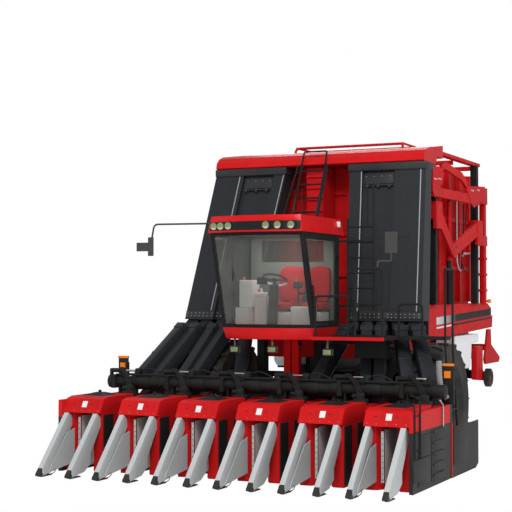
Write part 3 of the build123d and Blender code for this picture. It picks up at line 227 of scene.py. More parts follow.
def rubber(name, colour, dust=0.8, dust_top=0.9):
    """Tyre rubber, dusty towards the ground, with moulded rings."""
    f = Finish(name)
    share = (f.dust(dust_top) * dust).clamp()
    fine = f.noise(90.0, 4.0, 0.65)
    f.set(Base_Color=f.mix(share, f.mix(f.ramp(fine, 0.35, 0.7, 0.0, 0.5), colour,
                                        [c * 1.9 + 0.01 for c in colour]), DUST),
          Roughness=(0.72 + share * 0.2).clamp(), Specular_IOR_Level=0.3,
          Normal=f.bump(fine, 0.25, 0.0015))
    return f


def window(name, tint):
    """Tinted glass with a faint film of dust."""
    f = Finish(name)
    film = f.ramp(f.noise(3.0, 5.0, 0.65), 0.35, 0.8) * f.ramp(f.z, 2.2, 3.6, 0.12, 0.04)
    f.set(Base_Color=f.mix(film, tint, (0.6, 0.58, 0.54)), Roughness=0.03,
          Alpha=(0.26 + film).clamp(), Specular_IOR_Level=0.8, Coat_Weight=0.3)
    return f


def colour_property(name, description, default):
    return FloatVectorProperty(name=name, description=description, default=default,
                               subtype="COLOR", size=3, min=0, max=1)


class PickerPaint(bpy.types.PropertyGroup):
    """Colours of the machine."""

    body: colour_property("Body", "Sheet metal paint", (0.56, 0.010, 0.012))
    running_gear: colour_property("Running gear", "Axles, frame, tool bar and tubes",
                                  (0.016, 0.017, 0.0175))
    ducts: colour_property("Ducts", "Moulded air ducts", (0.020, 0.0225, 0.027))
    dividers: colour_property("Dividers", "Moulded row dividers", (0.46, 0.48, 0.485))
    rubber: colour_property("Rubber", "Tyres", (0.014, 0.014, 0.014))


class PickerSizes(bpy.types.PropertyGroup):
    """Sizes of the fittings that a user may change."""

    edge: FloatProperty(
        name="Edge", description="Rounding of folded and moulded edges", subtype="DISTANCE",
        default=0.005, min=0.001, max=0.01)
    spindle_rows: IntProperty(
        name="Spindle rows", description="Spindles on each bar of a rotor", default=15,
        min=4, max=18)


def sizes():
    return bpy.context.scene.picker_sizes


def colours():
    return bpy.context.scene.picker_paint


def select_only(*objects):
    """Selects these objects alone, the first one active."""
    bpy.ops.object.select_all(action="DESELECT")
    for o in objects:
        o.select_set(True)
    if objects:
        bpy.context.view_layer.objects.active = objects[0]


def soften(node, width):
    """Rounds a CAD node's folded edges with modifiers alone."""
    o = NODES[node]
    weld = o.modifiers.new("Weld", "WELD")
    weld.merge_threshold = 0.00005
    bevel = o.modifiers.new("Edge", "BEVEL")
    bevel.width = width
    bevel.segments = 2
    bevel.limit_method = "ANGLE"
    bevel.angle_limit = math.radians(35)


# Modelling helpers


def apply_place(o):
    """Puts an object's place, turn and size into its mesh."""
    select_only(o)
    bpy.ops.object.transform_apply(location=True, rotation=True, scale=True)
    return o


def tidy(made, name, finish, body, smooth=35):
    """Joins and names a finished piece, puts its place in its mesh, gives it finish and body."""
    o = joined(made) if isinstance(made, list) else made
    apply_place(o)
    bpy.ops.object.shade_smooth_by_angle(angle=math.radians(smooth))
    o.name = name
    o.data.name = name
    o.data.materials.clear()
    o.data.materials.append(finish.material)
    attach(o, body)
    return o


def slab(low, high, bevel=0.003, segments=2):
    """A block between two corners with its edges rounded."""
    select_only()
    middle = [(a + b) / 2 for a, b in zip(low, high)]
    bpy.ops.mesh.primitive_cube_add(size=1, location=middle)
    o = bpy.context.object
    o.scale = [max(b - a, 0.0005) for a, b in zip(low, high)]
    apply_place(o)
    if bevel:
        bpy.ops.object.mode_set(mode="EDIT")
        bpy.ops.mesh.select_all(action="SELECT")
        bpy.ops.mesh.bevel(offset=bevel, segments=segments, affect="EDGES")
        bpy.ops.object.mode_set(mode="OBJECT")
    return o


def block(xs, stations, heights, bevel=0.003, segments=2):
    """A rounded block between two limits each way, in either order."""
    low, high = zip(sorted(xs), sorted(stations), sorted(heights))
    return slab(at(*low), at(*high), bevel, segments)


def drum(start, end, radius, sides=20, bevel=0.002, end_radius=None):
    """A round bar or cone between two points with turned edges."""
    select_only()
    a, b = Vector(start), Vector(end)
    if end_radius is None:
        end_radius = radius
    bpy.ops.mesh.primitive_cone_add(vertices=sides, radius1=radius, radius2=end_radius,
                                    depth=(b - a).length)
    o = bpy.context.object
    if bevel:
        bpy.ops.object.mode_set(mode="EDIT")
        bpy.ops.mesh.select_all(action="DESELECT")
        bpy.ops.object.mode_set(mode="OBJECT")
        for face in o.data.polygons:
            face.select = abs(face.normal.z) > 0.9
        bpy.ops.object.mode_set(mode="EDIT")
        bpy.ops.mesh.bevel(offset=bevel, segments=2, affect="EDGES")
        bpy.ops.object.mode_set(mode="OBJECT")
    o.rotation_mode = "QUATERNION"
    o.rotation_quaternion = (b - a).to_track_quat("Z", "Y")
    o.location = (a + b) / 2
    return apply_place(o)


def tube(points, radius, sides=10, bend=0.04):
    """A bent tube through (x, station, z) points, with rounded corners and closed ends."""
    pts = [Vector(at(*p)) for p in points]
    path = [pts[0]]
    for before, here, after in zip(pts, pts[1:], pts[2:]):
        back, on = before - here, after - here
        cut = min(bend, back.length * 0.45, on.length * 0.45)
        start, end = here + back.normalized() * cut, here + on.normalized() * cut
        for i in range(5):
            t = i / 4
            path.append(start * (1 - t) ** 2 + here * 2 * t * (1 - t) + end * t ** 2)
    path.append(pts[-1])
    data = bpy.data.curves.new("tube", "CURVE")
    data.dimensions = "3D"
    spline = data.splines.new("POLY")
    spline.points.add(len(path) - 1)
    for point, p in zip(spline.points, path):
        point.co = (*p, 1)
    data.bevel_depth = radius
    data.bevel_resolution = max(1, sides // 4 - 1)
    data.use_fill_caps = True
    o = bpy.data.objects.new("tube", data)
    bpy.context.collection.objects.link(o)
    select_only(o)
    bpy.ops.object.convert(target="MESH")
    return bpy.context.object


def joined(objects):
    """One object out of several."""
    select_only(*objects)
    bpy.ops.object.join()
    return bpy.context.object


def leant(o, lean, spot):
    """A shape made at the origin, leant back about X and put in its place."""
    o.rotation_euler = (-lean, 0, 0)
    o.location = spot
    return o


def pillow(low, high, lean=0.0):
    """A crowned, stuffed block: its corners are smoothed away and its faces stay full."""
    select_only()
    bpy.ops.mesh.primitive_cube_add(size=1)
    o = bpy.context.object
    size = [b - a for a, b in zip(low, high)]
    o.scale = size
    apply_place(o)
    bpy.ops.object.mode_set(mode="EDIT")
    bpy.ops.mesh.select_all(action="SELECT")
    bpy.ops.mesh.subdivide(number_cuts=7)
    bpy.ops.mesh.vertices_smooth(factor=0.5, repeat=9)
    bpy.ops.object.mode_set(mode="OBJECT")
    bpy.context.view_layer.update()
    o.scale = [want / have for want, have in zip(size, o.dimensions)]
    apply_place(o)
    return apply_place(leant(o, lean, [(a + b) / 2 for a, b in zip(low, high)]))


def repeated(master, places):
    """Copies of one shape joined into one object; a place is a location and an XYZ rotation."""
    copies = []
    for spot, turn in places:
        o = master.copy()
        o.data = master.data.copy()
        o.matrix_world = Matrix.Translation(spot) @ Matrix.Rotation(turn[2], 4, "Z") @ \
            Matrix.Rotation(turn[1], 4, "Y") @ Matrix.Rotation(turn[0], 4, "X")
        bpy.context.collection.objects.link(o)
        copies.append(o)
    bpy.data.objects.remove(master)
    return joined(copies)


def bolt_head(radius, height):
    """A hexagon head on the XY plane, pointing along +Z."""
    select_only()
    bpy.ops.mesh.primitive_cylinder_add(vertices=6, radius=radius, depth=height,
                                        location=(0, 0, height / 2))
    return apply_place(bpy.context.object)


def camera_sees(tree, shown, lit, out):
    """Shows one shader to the camera and the other to everything else."""
    path = tree.nodes.new("ShaderNodeLightPath")
    switch = tree.nodes.new("ShaderNodeMixShader")
    for source, target in ((path.outputs["Is Camera Ray"], switch.inputs[0]),
                           (lit.outputs[0], switch.inputs[1]),
                           (shown.outputs[0], switch.inputs[2]),
                           (switch.outputs[0], out.inputs[0])):
        tree.links.new(source, target)


class PICKER_OT_stage(bpy.types.Operator):
    """Floor, backdrop, lights and the photograph's camera"""

    bl_idname = "picker.stage"
    bl_label = "Stage and camera"

    def execute(self, context):
        world = bpy.data.worlds.new("Studio")
        world.use_nodes = True
        tree = world.node_tree
        ground = tree.nodes["Background"]
        ground.inputs["Color"].default_value = (0.86, 0.88, 0.9, 1)
        ground.inputs["Strength"].default_value = 0.55
        white = tree.nodes.new("ShaderNodeBackground")
        white.inputs["Color"].default_value = (1, 1, 1, 1)
        camera_sees(tree, white, ground, tree.nodes["World Output"])
        context.scene.world = world
        context.scene.view_settings.view_transform = "Standard"

        select_only()
        bpy.ops.mesh.primitive_plane_add(size=120, location=(0, 0, 0))
        floor = context.object
        floor.name = "studio_floor"
        f = Finish("pale_floor")
        glow = f.tree.nodes.new("ShaderNodeEmission")
        glow.inputs[0].default_value = (1, 1, 1, 1)
        f.set(Base_Color=(0.82, 0.82, 0.82), Roughness=0.9)
        camera_sees(f.tree, glow, f.shader, f.tree.nodes["Material Output"])
        floor.data.materials.append(f.material)

        middle = Vector((0, 0, 2.2))
        for name, place, watts, size, tint in (
            # name, place, watts, size, tint
            ("key", (5, -14, 14), 1700, 6, (1, 0.99, 0.97)),
            ("side", (15, -2, 6), 640, 7, (0.98, 0.99, 1)),
            ("left_fill", (-13, -8, 7), 300, 9, (0.96, 0.98, 1)),
            ("rear", (-4, 14, 10), 400, 8, (1, 1, 1)),
            ("front_low", (2, -18, 3), 320, 8, (1, 1, 1)),
            ("cab_light", at(0, 2.55, 3.6), 14, 0.8, (1, 1, 1)),
        ):
            data = bpy.data.lights.new(name, "AREA")
            data.energy = watts
            data.size = size
            data.color = tint
            lamp = bpy.data.objects.new(name, data)
            context.collection.objects.link(lamp)
            lamp.location = place
            if name != "cab_light":
                aim = middle - lamp.location
                lamp.rotation_euler = aim.to_track_quat("-Z", "Y").to_euler()

        camera_data = bpy.data.cameras.new("photo_camera")
        camera_data.sensor_width = 36
        camera_data.lens = 91.0
        camera_data.clip_end = 200
        camera = bpy.data.objects.new("photo_camera", camera_data)
        context.collection.objects.link(camera)
        camera.location = (8.255, -20.337, 2.726)
        turn, lift = math.radians(25.197), math.radians(1.642)
        aim = Vector((-math.sin(turn) * math.cos(lift), math.cos(turn) * math.cos(lift),
                      math.sin(lift)))
        camera.rotation_mode = "QUATERNION"
        camera.rotation_quaternion = aim.to_track_quat("-Z", "Y")
        context.scene.camera = camera
        return {"FINISHED"}


def panel_stripes(name, colour):
    """Side panel paint with its rising band, grey at the front and black at the rear."""
    f = paint(name, colour, dust_top=2.6)
    base = f.shader.inputs["Base Color"].links[0].from_socket
    run = f.y - y_at(4.285)
    rise = f.z - 2.06 - run * 0.033
    outside = abs(f.x) > 1.779
    band = (rise > 0.11) * (rise < 0.235) * outside
    thin = (rise > 0.045) * (rise < 0.075) * outside
    from_front = (run > 0.75) * (run < 4.25)
    fade = f.ramp(run, 0.8, 1.9)
    grey = f.mix(fade, (0.62, 0.63, 0.63), (0.02, 0.022, 0.022))
    tone = f.mix(band * from_front, Link(f, base), grey)
    tone = f.mix(thin * from_front, tone, f.mix(f.ramp(run, 1.6, 1.7), (0.66, 0.66, 0.66),
                                                (0.02, 0.02, 0.02)))
    f.set(Base_Color=tone)
    return f


class PICKER_OT_finishes(bpy.types.Operator):
    """Materials on the carried-over solids"""

    bl_idname = "picker.finishes"
    bl_label = "Finishes"

    def execute(self, context):
        c = colours()
        black = c.running_gear

        def ahead_of(f, station):
            return f.y < y_at(station)

        for finish, nodes in (
            (paint("red_paint", c.body),
             "row_cabinets chamber_walls chamber_braces top_frame rear_wedges rear_door"),
            # black cap and knob
            (paint("hood_paint", c.body, second=black, where=lambda f: f.z > 1.165), "row_hoods"),
            # red slanted posts under the cab
            (paint("support_paint", black, second=c.body,
                   where=lambda f: (f.x > -0.02) * (f.x < 0.36) * ahead_of(f, 2.97)),
             "body_supports"),
            # red rear legs
            (paint("frame_paint", black, second=c.body,
                   where=lambda f: (abs(f.x) > 1.69) * (f.y > y_at(7.4))), "chassis_frame"),
            # red front edge of the deck
            (paint("deck_paint", black, rough=0.45, second=c.body,
                   where=lambda f: ahead_of(f, 2.012) * (f.z > 2.02)), "platform"),
            # black beams under the floor
            (paint("floor_paint", c.body, second=black, where=lambda f: f.z < 1.6205),
             "chamber_floor"),
            (paint("red_moulding", c.body, rough=0.3, coat=0.12, dust=0.0), "cab_base"),
            # black ladder
            (paint("top_hood_paint", c.body, rough=0.3, coat=0.1, dust=0.0, second=black,
                   where=lambda f: (f.x > -0.28) * (f.x < 0.205) * ahead_of(f, 4.157)
                   * (f.z < 4.885)), "top_hood"),
            # black band behind the roof lamps
            (paint("roof_moulding", c.body, rough=0.3, coat=0.12, dust=0.0, second=black,
                   where=lambda f: (f.z > 3.665) * (f.z < 3.802) * (abs(f.x) < 0.752)
                   * ahead_of(f, 1.80)), "cab_roof"),
            (paint("black_paint", black, rough=0.42, dust=0.15, dust_top=1.6),
             "toolbar drive_axle steer_axle cab_door handrails knuckle_left knuckle_right "
             "lift_barrels tilt_barrels chamber_posts"),
            # pale lining of the rear wall
            (paint("cab_frame_paint", black, rough=0.42, dust=0.05, second=(0.16, 0.18, 0.155),
                   where=lambda f: (f.y > y_at(3.12)) * ahead_of(f, 3.2449)
                   * (abs(f.x) < 0.728)), "cab_frame"),
            (paint("rim_paint", (0.05, 0.052, 0.054), rough=0.45, dust=0.3),
             "drive_rims_left drive_rims_right steer_rim_left steer_rim_right"),
            (panel_stripes("striped_paint", c.body), "side_panels"),
            (moulding("duct_moulding", c.ducts, 0.4, 0.06, 2.2), "duct_banks lower_ducts"),
            (moulding("flank_moulding", black, 0.5, 0.05), "row_doors"),
            (moulding("mirror_moulding", (0.05, 0.051, 0.05), 0.5, 0.0), "mirrors"),
            # red top of the end covers
            (moulding("cover_moulding", (0.026, 0.0265, 0.026), 0.5, 0.03, second=c.body,
                      where=lambda f: (f.z > 0.86) * ahead_of(f, 2.44)), "header_ends"),
            # amber top strip and lens
            (moulding("board_moulding", black, 0.4, 0.05, second=(0.85, 0.21, 0.01),
                      where=lambda f: ((f.z > 1.6645) + ahead_of(f, 2.539)
                                       * (f.z < 1.62)).clamp()), "marker_lamps"),
            # dark shoe at each tip
            (moulding("divider_moulding", c.dividers, 0.45, 0.08, 0.5,
                      second=(0.02, 0.021, 0.022), where=lambda f: ahead_of(f, 0.075)),
             "dividers"),
            (moulding("lamp_body", (0.10, 0.105, 0.09), 0.3, 0.1), "lamps"),
            (moulding("tank_moulding", (0.86, 0.86, 0.88), 0.4, 0.0), "tanks"),
            # dark wheel and column
            (moulding("cab_lining", (0.62, 0.63, 0.60), 0.6, 0.0, second=(0.035, 0.037, 0.038),
                      where=lambda f: (abs(f.x) < 0.22) * ahead_of(f, 2.56)), "cab_interior"),
            (moulding("seat_fabric", (0.42, 0.015, 0.02), 0.8, 0.0), "cab_seats"),
            (rubber("tyre_rubber", c.rubber),
             "drive_tyres_left drive_tyres_right steer_tyre_left steer_tyre_right "
             "trail_wheel_left trail_wheel_right"),
            (bare_metal("cast_iron", (0.05, 0.05, 0.055), 0.6, 0.3, 0.4), "engine"),
            (bare_metal("bare_steel", (0.36, 0.37, 0.37), 0.38, 0.25),
             "throat_plates rotor_1 rotor_2 rotor_3 rotor_4 rotor_5 rotor_6"),
            (bare_metal("rod_chrome", (0.72, 0.73, 0.75), 0.12), "lift_rods tilt_rods"),
            (window("window_glass", (0.07, 0.08, 0.07)), "cab_glass door_glass"),
        ):
            for node in nodes.split():
                materials = NODES[node].data.materials
                materials.clear()
                materials.append(finish.material)
        return {"FINISHED"}


class PICKER_OT_edges(bpy.types.Operator):
    """Rounded edges on folded sheet and moulded parts"""

    bl_idname = "picker.edges"
    bl_label = "Rounded edges"

    def execute(self, context):
        for node, share in (
            ("row_hoods", 1.6), ("dividers", 2.4), ("header_ends", 1), ("cab_roof", 2),
            ("cab_base", 2), ("side_panels", 1), ("top_hood", 1), ("chamber_braces", 0.8),
            ("tanks", 5), ("platform", 1), ("row_doors", 0.5), ("cab_interior", 3),
            ("chamber_posts", 1), ("duct_banks", 1), ("mirrors", 0.6),
        ):
            soften(node, sizes().edge * share)
        return {"FINISHED"}


class PICKER_OT_spindles(bpy.types.Operator):
    """Barbed picking spindles on every rotor bar"""

    bl_idname = "picker.spindles"
    bl_label = "Spindles"

    def execute(self, context):
        steel = bare_metal("spindle_steel", (0.55, 0.56, 0.55), 0.22)
        rows = sizes().spindle_rows
        for i, row in enumerate(ROW_XS):
            axis = Vector(at(row + ROTOR_OFFSET, 1.3, 0))
            master = drum((0, 0, 0), (0.034, 0, 0), 0.0045, sides=6, bevel=0, end_radius=0.0022)
            places = []
            for k in range(12):
                turn = math.radians(30 * k)
                out = Vector((math.cos(turn), math.sin(turn), 0))
                for j in range(rows):
                    spot = axis + out * 0.0865 + Vector((0, 0, 0.165 + j * 0.72 / rows))
                    places.append((spot, (0, 0, turn)))
            tidy(repeated(master, places), f"spindles_{i + 1}", steel, f"rotor_{i + 1}")
        return {"FINISHED"}


class PICKER_OT_hood_trim(bpy.types.Operator):
    """Slots, bare plates and fasteners on the row hoods, and dark tips on the dividers"""

    bl_idname = "picker.hood_trim"
    bl_label = "Hood and divider trim"

    def execute(self, context):
        dark = moulding("trim_dark", (0.02, 0.021, 0.022), 0.5, 0.3)
        plate = moulding("bare_plate", (0.72, 0.72, 0.72), 0.35, 0.15)
        bolts = bare_metal("hood_bolts", (0.25, 0.25, 0.25), 0.4, 0.2)
        low = Vector(at(0, 0.775, 0.9303))
        run = Vector(at(0, 0.89, 1.135)) - low
        out = Vector((0, -run.z, run.y)).normalized()
        lean = math.atan2(run.y, run.z)

        def on_hood(x, share, proud):
            """A point on a hood's sloping front, a share of the way up it."""
            return low + run * share + Vector((x, 0, 0)) + out * proud

        slots, plates, heads = [], [], []
        for row in ROW_XS:
            for x, wide, tall in ((-0.17, 0.05, 0.016), (0.13, 0.05, 0.016), (-0.07, 0.007, 0.12),
                                  (0.235, 0.007, 0.12)):
                o = slab((-wide / 2, -0.002, -tall / 2), (wide / 2, 0.003, tall / 2), 0.0015)
                slots.append(leant(o, lean, on_hood(row + x, 0.62, 0.0015)))
            o = slab((-0.042, -0.003, -0.05), (0.042, 0.003, 0.05), 0.002)
            plates.append(leant(o, lean, on_hood(row + 0.02, 0.60, 0.003)))
            heads += [(on_hood(row + x, 0.16, 0.001), (RIGHT_ANGLE - lean, 0, 0))
                      for x in (-0.28, -0.14, 0.0, 0.14, 0.28)]
        tidy(slots, "hood_slots", dark, "header")
        tidy(plates, "hood_plates", plate, "header")
        tidy(repeated(bolt_head(0.008, 0.005), heads), "hood_bolts", bolts, "header")

        caps, lifters = [], []
        for row in ROW_XS:
            for side in SIDES:
                x = row + side * 0.252
                caps.append(drum(at(x, 0.09, 0.085), at(x, 0.004, 0.076), 0.046, 12, 0.004, 0.016))
                caps.append(block((x - 0.03, x + 0.03), (0.09, 0.34), (0.044, 0.062), 0.006))
                for k in (0, 1):
                    lifters.append(tube([(x - side * 0.03, 0.5 + 0.1 * k, 0.16 + 0.1 * k),
                                         (x - side * 0.05, 0.36, 0.075 + 0.05 * k),
                                         (x - side * 0.02, 0.12 + 0.06 * k, 0.055)], 0.006, 8))
        tidy(caps, "divider_tips", dark, "header")
        tidy(lifters, "stalk_lifters", dark, "header")
        return {"FINISHED"}


class PICKER_OT_tool_bar(bpy.types.Operator):
    """Sleeves, rods, stands, gearboxes and pipes along the tool bar"""

    bl_idname = "picker.tool_bar"
    bl_label = "Tool bar fittings"

    def execute(self, context):
        dark = paint("fitting_paint", (0.018, 0.019, 0.0195), rough=0.45, coat=0.05, dust=0.06,
                     dust_top=1.9)
        chrome = bare_metal("cylinder_rod", (0.72, 0.73, 0.75), 0.14)
        pipe = moulding("hose_black", (0.012, 0.012, 0.013), 0.55, 0.03, dust_top=1.8)
        bar, axis, top = 2.15, 1.32, 1.49
        solids, rods, pipes = [], [], []
        for row in ROW_XS:

            def along(left, right, z, radius, sides, bevel, station=bar):
                """A round piece that lies along the tool bar."""
                return drum(at(row + left, station, z), at(row + right, station, z), radius, sides,
                            bevel)

            gear_x = row + ROTOR_OFFSET
            solids += [
                along(-0.33, -0.25, axis, 0.108, 24, 0.008),
                along(0.2, 0.42, axis, 0.1, 24, 0.01),
                block((row + 0.155, row + 0.225), (bar - 0.05, bar + 0.05), (1.38, top + 0.02),
                      0.008),
                along(0.14, 0.24, top, 0.042, 18, 0.004),
                along(-0.30, -0.06, top, 0.036, 18, 0.006),
                block((row - 0.33, row - 0.29), (bar - 0.03, bar + 0.03), (1.40, top + 0.03),
                      0.006),
                # drive gearbox and motor over the rotor, ahead of the bar
                block((gear_x - 0.09, gear_x + 0.09), (1.76, 1.93), (1.112, 1.20), 0.012),
                drum(at(gear_x, 1.83, 1.19), at(gear_x, 1.83, 1.29), 0.062, 22, 0.006),
                along(0.076, 0.196, 1.235, 0.035, 16, 0.004, 1.85),
            ]
            rods.append(along(-0.07, 0.15, top, 0.018, 14, 0))
            for x in (row, row + 0.03, row + 0.06):
                pipes.append(tube([(x - 0.12, bar, top + 0.03), (x - 0.12, bar - 0.09, top + 0.06),
                                   (x + 0.05, bar - 0.16, 1.42), (x + 0.146, 1.88, 1.26)],
                                  0.011, 8, 0.09))
            if row < max(ROW_XS):
                pipes.append(tube([(row + 0.2, bar + 0.06, top),
                                   (row + 0.33, bar + 0.1, top + 0.04),
                                   (row + 0.52, bar + 0.12, top - 0.03),
                                   (row + 0.62, bar + 0.09, 1.37)], 0.013, 8, 0.09))
        for z, back in ((1.43, 0.09), (1.43, -0.07), (1.20, 0.11)):
            pipes.append(tube([(-2.6, bar + back, z), (2.6, bar + back, z)], 0.016, 8))
        tidy(solids, "bar_fittings", dark, "header")
        tidy(rods, "bar_rods", chrome, "header")
        tidy(pipes, "bar_pipes", pipe, "header")
        return {"FINISHED"}


class PICKER_OT_lamps(bpy.types.Operator):
    """Lenses and rims of the roof lamps and work lamps"""

    bl_idname = "picker.lamps"
    bl_label = "Lamp lenses"

    def execute(self, context):
        rim = moulding("lamp_rim", (0.02, 0.02, 0.02), 0.4, 0.1)
        lens = Finish("lamp_lens")
        ribs = lens.node("ShaderNodeTexWave", {"bands_direction": "X"},
                         {"Vector": lens.place, "Scale": 45.0})
        low_half = lens.ramp(lens.z, 3.70, 3.725, 1.0, 0.0) * (lens.z > 3.0)
        tone = lens.mix(lens.ramp(ribs, 0.2, 0.8), (0.10, 0.14, 0.035), (0.24, 0.28, 0.12))
        lens.set(Base_Color=lens.mix(low_half * 0.7, tone, (0.6, 0.62, 0.52)),
                 Roughness=0.08, Coat_Weight=0.8, Normal=lens.bump(ribs, 0.35, 0.002))
        rims, glass = [], []
        roof_z = 3.735
        for x in (-0.66, -0.53, -0.39, 0.24, 0.42, 0.62):
            front = y_at(1.738 - 0.12 * (1 - (x / 0.78) ** 2))
            select_only()
            bpy.ops.mesh.primitive_torus_add(major_radius=0.057, minor_radius=0.006,
                                             major_segments=28, minor_segments=8,
                                             location=(x, front, roof_z),
                                             rotation=(RIGHT_ANGLE, 0, 0))
            rims.append(bpy.context.object)
            glass.append(drum((x, front + 0.003, roof_z), (x, front - 0.008, roof_z), 0.055, 28,
                              0.004))
        for x, front, z in ((-0.576, 2.24, 1.86), (0.102, 2.15, 1.87), (1.05, 2.04, 1.85)):
            glass.append(block((x - 0.062, x + 0.062), (front - 0.006, front + 0.002),
                               (z - 0.038, z + 0.038)))
            for left, right, bottom, top in ((-0.075, 0.075, -0.05, -0.04),
                                             (-0.075, 0.075, 0.04, 0.05),
                                             (-0.075, -0.064, -0.05, 0.05),
                                             (0.064, 0.075, -0.05, 0.05)):
                rims.append(block((x + left, x + right), (front - 0.012, front + 0.002),
                                  (z + bottom, z + top), 0.002))
        tidy(rims, "lamp_rims", rim, "chassis")
        tidy(glass, "lamp_lenses", lens, "chassis")
        return {"FINISHED"}


class PICKER_OT_wheel_trim(bpy.types.Operator):
    """Wheel nuts on the drive wheels and the steered wheels"""

    bl_idname = "picker.wheel_trim"
    bl_label = "Wheel trim"

    def execute(self, context):
        steel = bare_metal("wheel_nuts", (0.30, 0.30, 0.30), 0.4, 0.3)
        for side, word in ((1, "left"), (-1, "right")):
            for kind, body, count, x, station, z, circle, radius, height in (
                # kind, body, count, x, station, z, nut circle, nut radius, nut height
                ("drive", "drive_wheels", 12, 2.2, 3.72, 0.975, 0.17, 0.02, 0.022),
                ("steer", "steer_wheel", 8, 1.372, 6.9, 0.66, 0.14, 0.016, 0.02),
            ):
                places = []
                for k in range(count):
                    a = math.tau * k / count
                    spot = at(side * x, station + circle * math.cos(a), z + circle * math.sin(a))
                    places.append((spot, (0, side * RIGHT_ANGLE, 0)))
                tidy(repeated(bolt_head(radius, height), places), f"{kind}_nuts_{word}", steel,
                     f"{body}_{word}")
        return {"FINISHED"}


class PICKER_OT_duct_trim(bpy.types.Operator):
    """Collars, seams, ribs and rivets on the air ducts"""

    bl_idname = "picker.duct_trim"
    bl_label = "Duct trim"

    def execute(self, context):
        duct = moulding("duct_trim", (0.026, 0.028, 0.031), 0.4, 0.2, dust_top=2.2)
        # pale finish for strips of painted highlight along the duct edges
        pale = moulding("duct_highlight_paint", (0.32, 0.33, 0.34), 0.3, 0.1)
        bolts = bare_metal("duct_bolts", (0.3, 0.3, 0.31), 0.35)
        low_z, high_z = 2.29, 4.815
        low_front, high_front = 3.4, 4.24
        columns = (
            # inner and outer edge at the foot, the same at the head, setback
            (0.83, 1.01, 0.572, 0.785, 0.0),
            (1.012, 1.54, 0.787, 1.35, 0.06),
            (1.542, 2.065, 1.352, 1.885, 0.0),
        )
        lean = math.atan2(high_front - low_front, high_z - low_z)

        def on_face(column, across, z, side, proud=0.0):
            """A point on a duct's front face: across is 0 at its inner edge and 1 at its outer."""
            rise = (z - low_z) / (high_z - low_z)
            inner = column[0] + (column[2] - column[0]) * rise
            outer = column[1] + (column[3] - column[1]) * rise
            front = low_front + (high_front - low_front) * rise + column[4]
            return Vector((side * (inner + (outer - inner) * across), y_at(front) - proud, z))

        def band(column, low, high, z, side, tall, thick):
            """A flat strip across a duct's front face, leaning with it."""
            a, b = on_face(column, low, z, side), on_face(column, high, z, side)
            wide = abs(b.x - a.x)
            o = slab((-wide / 2, -thick / 2, -tall / 2), (wide / 2, thick / 2, tall / 2), 0.004)
            return leant(o, lean, (a + b) / 2 - Vector((0, thick / 2, 0)))

        def head(column, across, z, side, proud):
            return on_face(column, across, z, side, proud), (RIGHT_ANGLE - lean, 0, 0)

        strips, edges, heads, plates = [], [], [], []
        for side in SIDES:
            for column in columns:
                ribs, rivets = (3, 7) if column[1] - column[0] > 0.3 else (1, 3)
                for z, low, high, tall, thick in ((2.47, 0.02, 0.98, 0.012, 0.006),
                                                  (3.62, 0.02, 0.98, 0.012, 0.006),
                                                  (2.37, 0.0, 1.0, 0.11, 0.008),
                                                  (4.765, 0.0, 1.0, 0.085, 0.014)):
                    strips.append(band(column, low, high, z, side, tall, thick))
                for k in range(ribs):
                    share = (k + 1) / (ribs + 1)
                    strips.append(drum(on_face(column, share, 2.5, side),
                                       on_face(column, share, 4.40, side), 0.004, 8, 0))
                heads += [head(column, (k + 0.5) / rivets, z, side, 0.012)
                          for z in (2.345, 2.395, 4.765) for k in range(rivets)]
            # pale strips down one edge of the inner and outer duct on each side: painted highlights
            # where their rounded corners catch the light
            inner, outer = (0.985, 0.84) if side > 0 else (0.14, 0.13)
            for column, across in ((columns[0], inner), (columns[2], outer)):
                edges.append(drum(on_face(column, across, 2.44, side, 0.002),
                                  on_face(column, across, 4.72, side, 0.002), 0.009, 10, 0))
            # access panel at the head of the middle duct, with its catches
            column = columns[1]
            plates.append(band(column, 0.04, 0.96, 4.60, side, 0.20, 0.02))
            strips.append(band(column, 0.06, 0.94, 4.478, side, 0.022, 0.05))
            strips += [band(column, across - 0.035, across + 0.035, 4.47, side, 0.07, 0.055)
                       for across in (0.16, 0.5, 0.84)]
            heads += [head(column, across, 4.635, side, 0.02) for across in (0.12, 0.36, 0.6, 0.86)]
        plates += [block((side * 0.560, side * 1.895), (4.185, 4.62), (4.735, 4.853), 0.008)
                   for side in SIDES]
        tidy(strips, "duct_ribs", duct, "chassis")
        tidy(plates, "duct_panels", duct, "chassis")
        tidy(edges, "duct_painted_highlights", pale, "chassis")
        tidy(repeated(bolt_head(0.010, 0.007), heads), "duct_bolts", bolts, "chassis")
        return {"FINISHED"}


